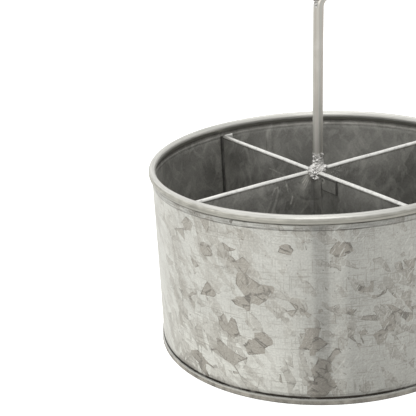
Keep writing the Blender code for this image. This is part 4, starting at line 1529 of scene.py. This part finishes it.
def build_welds():
    """Weld round the rod's foot with its smears and beads, and the weld at the ring."""
    handle = bpy.context.scene.caddy_handle
    rod = ROD_HIGH.y
    bm = bmesh.new()
    steps = 13
    for i in range(steps + 1):
        up = i / steps
        height = LONG_HIGH.z - 0.001 + (HUB_HIGH.z - LONG_HIGH.z) * up
        wide = rod + 0.0002 + 0.0016 * (1.0 - up) ** 3
        add_ball(bm, (0.0, 0.0, height), (wide, wide, 0.0012))
    for across, towards, height, wide, tall in WELD_LUMPS:
        add_ball(bm, seen_from_front(across, towards, height), (wide, wide, tall))
    for start, end, radius in WELD_SMEARS:
        add_smear(bm, seen_from_front(*start), seen_from_front(*end), radius)
    low = HUB_LOW - WELD_OVERHANG
    high = HUB_HIGH + WELD_OVERHANG
    build_weld("hub_weld_metal", "hub_weld", bm, handle.weld_grain, handle.weld_roughness, low, high)
    bm = bmesh.new()
    lean = lean_at(handle, LOOP_LOW.z)
    middle = 0.5 * (LOOP_LOW + LOOP_HIGH) + lean
    half = 0.5 * (LOOP_HIGH - LOOP_LOW)
    add_ball(bm, middle + Vector((0.0, 0.0, 0.3 * half.z)), (half.x * 0.9, half.y * 0.84, half.z * 0.66))
    for drop, radii in LOOP_DROPS:
        add_ball(bm, Vector(drop) + lean, radii)
    low = LOOP_LOW + lean
    high = LOOP_HIGH + lean
    build_weld("loop_weld_metal", "loop_weld", bm, handle.weld_grain, handle.weld_roughness, low, high)


def dress_rim_wire():
    """The wire inside the roll keeps its CAD shape and gets the rod's finish."""
    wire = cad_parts["rim_wire"]
    wire.data.materials.clear()
    wire.data.materials.append(finishes_of(drawn_rod)[0])


# Stage

def build_floor(stage):
    """Pale floor that stays a soft white in the picture."""
    bm = bmesh.new()
    bmesh.ops.create_grid(bm, x_segments=8, y_segments=8, size=stage.floor_half)
    mesh = bpy.data.meshes.new("floor")
    bm.to_mesh(mesh)
    bm.free()
    material = bpy.data.materials.new("floor_paint")
    material.use_nodes = True
    tree = material.node_tree
    shader = tree.nodes["Principled BSDF"]
    shader.inputs["Roughness"].default_value = 0.9
    shader.inputs["Specular IOR Level"].default_value = 0.1
    shader.inputs["Base Color"].default_value = FLOOR_COLOUR
    glow = tree.nodes.new("ShaderNodeEmission")
    glow.inputs["Strength"].default_value = FLOOR_GLOW
    seen = tree.nodes.new("ShaderNodeLightPath")
    both = tree.nodes.new("ShaderNodeAddShader")
    pick = tree.nodes.new("ShaderNodeMixShader")
    out = tree.nodes["Material Output"]
    tree.links.new(shader.outputs[0], both.inputs[0])
    tree.links.new(glow.outputs[0], both.inputs[1])
    tree.links.new(seen.outputs["Is Camera Ray"], pick.inputs[0])
    tree.links.new(shader.outputs[0], pick.inputs[1])
    tree.links.new(both.outputs[0], pick.inputs[2])
    tree.links.new(pick.outputs[0], out.inputs["Surface"])
    mesh.materials.append(material)
    floor = bpy.data.objects.new("floor", mesh)
    bpy.context.scene.collection.objects.link(floor)


def build_world(stage):
    """Soft white surround, dimmer towards the camera's right."""
    world = bpy.data.worlds.new("studio")
    bpy.context.scene.world = world
    world.use_nodes = True
    tree = world.node_tree
    back = tree.nodes["Background"]
    back.inputs["Color"].default_value = SKY_COLOUR
    direction = tree.nodes.new("ShaderNodeTexCoord")
    across = tree.nodes.new("ShaderNodeVectorMath")
    across.operation = "DOT_PRODUCT"
    across.inputs[1].default_value = TO_RIGHT
    dim = tree.nodes.new("ShaderNodeMapRange")
    dim.inputs["From Min"].default_value = -1.0
    dim.inputs["To Min"].default_value = stage.sky * (1.0 + stage.sky_slope)
    dim.inputs["To Max"].default_value = stage.sky * (1.0 - stage.sky_slope)
    tree.links.new(direction.outputs["Generated"], across.inputs[0])
    tree.links.new(across.outputs["Value"], dim.inputs["Value"])
    tree.links.new(dim.outputs["Result"], back.inputs["Strength"])


def add_light(name, place, size, power):
    """Square area light aimed at the tub."""
    light = bpy.data.lights.new(name, "AREA")
    light.size = size
    light.energy = power
    lamp = bpy.data.objects.new(name, light)
    lamp.location = place
    lamp.rotation_mode = "QUATERNION"
    lamp.rotation_quaternion = (Vector(LIT_POINT) - Vector(place)).to_track_quat("-Z", "Y")
    bpy.context.scene.collection.objects.link(lamp)


def build_camera(stage):
    """Camera at the photograph's angle."""
    lens = bpy.data.cameras.new("camera")
    lens.sensor_width = 36.0
    lens.lens = stage.lens
    lens.clip_start = 0.01
    lens.clip_end = 100.0
    camera = bpy.data.objects.new("camera", lens)
    forward = Vector((
        math.sin(stage.heading) * math.cos(stage.pitch),
        math.cos(stage.heading) * math.cos(stage.pitch),
        -math.sin(stage.pitch),
    ))
    level = Vector((math.cos(stage.heading), -math.sin(stage.heading), 0.0))
    down = forward.cross(level)
    right = level * math.cos(stage.roll) - down * math.sin(stage.roll)
    below = level * math.sin(stage.roll) + down * math.cos(stage.roll)
    turn = Matrix((right, -below, -forward)).transposed()
    camera.matrix_world = Matrix.Translation(stage.camera_place) @ turn.to_4x4()
    bpy.context.scene.collection.objects.link(camera)
    bpy.context.scene.camera = camera


def build_stage():
    """Floor, surround, lights and camera."""
    scene = bpy.context.scene
    stage = scene.caddy_stage
    scene.view_settings.view_transform = "Standard"
    build_floor(stage)
    build_world(stage)
    add_light(*KEY_LIGHT, stage.key_power)
    add_light(*TOP_LIGHT, stage.top_power)
    build_camera(stage)


# Operators

class CADDY_OT_tub(Operator):
    """Build the wall with its bead, rolled rim and lock seam"""

    bl_idname = "caddy.tub"
    bl_label = "Tub Wall"
    bl_options = {"REGISTER"}

    def execute(self, context):
        build_tub()
        return {"FINISHED"}


class CADDY_OT_base(Operator):
    """Build the pressed base pan"""

    bl_idname = "caddy.base"
    bl_label = "Base Pan"
    bl_options = {"REGISTER"}

    def execute(self, context):
        build_base()
        return {"FINISHED"}


class CADDY_OT_dividers(Operator):
    """Build the long divider and the two half dividers"""

    bl_idname = "caddy.dividers"
    bl_label = "Dividers"
    bl_options = {"REGISTER"}

    def execute(self, context):
        build_dividers()
        return {"FINISHED"}


class CADDY_OT_plate(Operator):
    """Build the patch plate beside the crossing"""

    bl_idname = "caddy.plate"
    bl_label = "Patch Plate"
    bl_options = {"REGISTER"}

    def execute(self, context):
        build_plate()
        return {"FINISHED"}


class CADDY_OT_handle(Operator):
    """Build the rod with its finger ring"""

    bl_idname = "caddy.handle"
    bl_label = "Handle"
    bl_options = {"REGISTER"}

    def execute(self, context):
        build_handle()
        return {"FINISHED"}


class CADDY_OT_welds(Operator):
    """Build the weld metal at the crossing and at the ring"""

    bl_idname = "caddy.welds"
    bl_label = "Welds"
    bl_options = {"REGISTER"}

    def execute(self, context):
        build_welds()
        return {"FINISHED"}


class CADDY_OT_rim_wire(Operator):
    """Give the wire inside the rolled rim its finish"""

    bl_idname = "caddy.rim_wire"
    bl_label = "Rim Wire"
    bl_options = {"REGISTER"}

    def execute(self, context):
        dress_rim_wire()
        return {"FINISHED"}


class CADDY_OT_stage(Operator):
    """Set up the pale floor, soft lights and camera"""

    bl_idname = "caddy.stage"
    bl_label = "Studio Stage"
    bl_options = {"REGISTER"}

    def execute(self, context):
        build_stage()
        return {"FINISHED"}


OPERATORS = (
    CADDY_OT_tub,
    CADDY_OT_base,
    CADDY_OT_dividers,
    CADDY_OT_plate,
    CADDY_OT_handle,
    CADDY_OT_welds,
    CADDY_OT_rim_wire,
    CADDY_OT_stage,
)


class CADDY_PT_panel(Panel):
    """Lists the caddy's builders in the sidebar"""

    bl_idname = "CADDY_PT_panel"
    bl_label = "Cutlery Caddy"
    bl_space_type = "VIEW_3D"
    bl_region_type = "UI"
    bl_category = "Caddy"

    def draw(self, context):
        for operator in OPERATORS:
            self.layout.operator(operator.bl_idname)
        for name, group in SETTINGS:
            box = self.layout.box()
            box.label(text=name.replace("_", " ").title())
            for prop in group.__annotations__:
                box.prop(getattr(context.scene, name), prop)


def register():
    """Register the settings, operators and panel."""
    for name, group in SETTINGS:
        bpy.utils.register_class(group)
        setattr(bpy.types.Scene, name, PointerProperty(type=group))
    for operator in OPERATORS:
        bpy.utils.register_class(operator)
    bpy.utils.register_class(CADDY_PT_panel)


def unregister():
    """Take the panel, operators and settings away again."""
    bpy.utils.unregister_class(CADDY_PT_panel)
    for operator in reversed(OPERATORS):
        bpy.utils.unregister_class(operator)
    for name, group in reversed(SETTINGS):
        delattr(bpy.types.Scene, name)
        bpy.utils.unregister_class(group)


def main():
    """Register, build every piece and the stage."""
    register()
    bpy.ops.caddy.tub()
    bpy.ops.caddy.base()
    bpy.ops.caddy.dividers()
    bpy.ops.caddy.plate()
    bpy.ops.caddy.handle()
    bpy.ops.caddy.welds()
    bpy.ops.caddy.rim_wire()
    bpy.ops.caddy.stage()


if __name__ == "__main__":
    main()
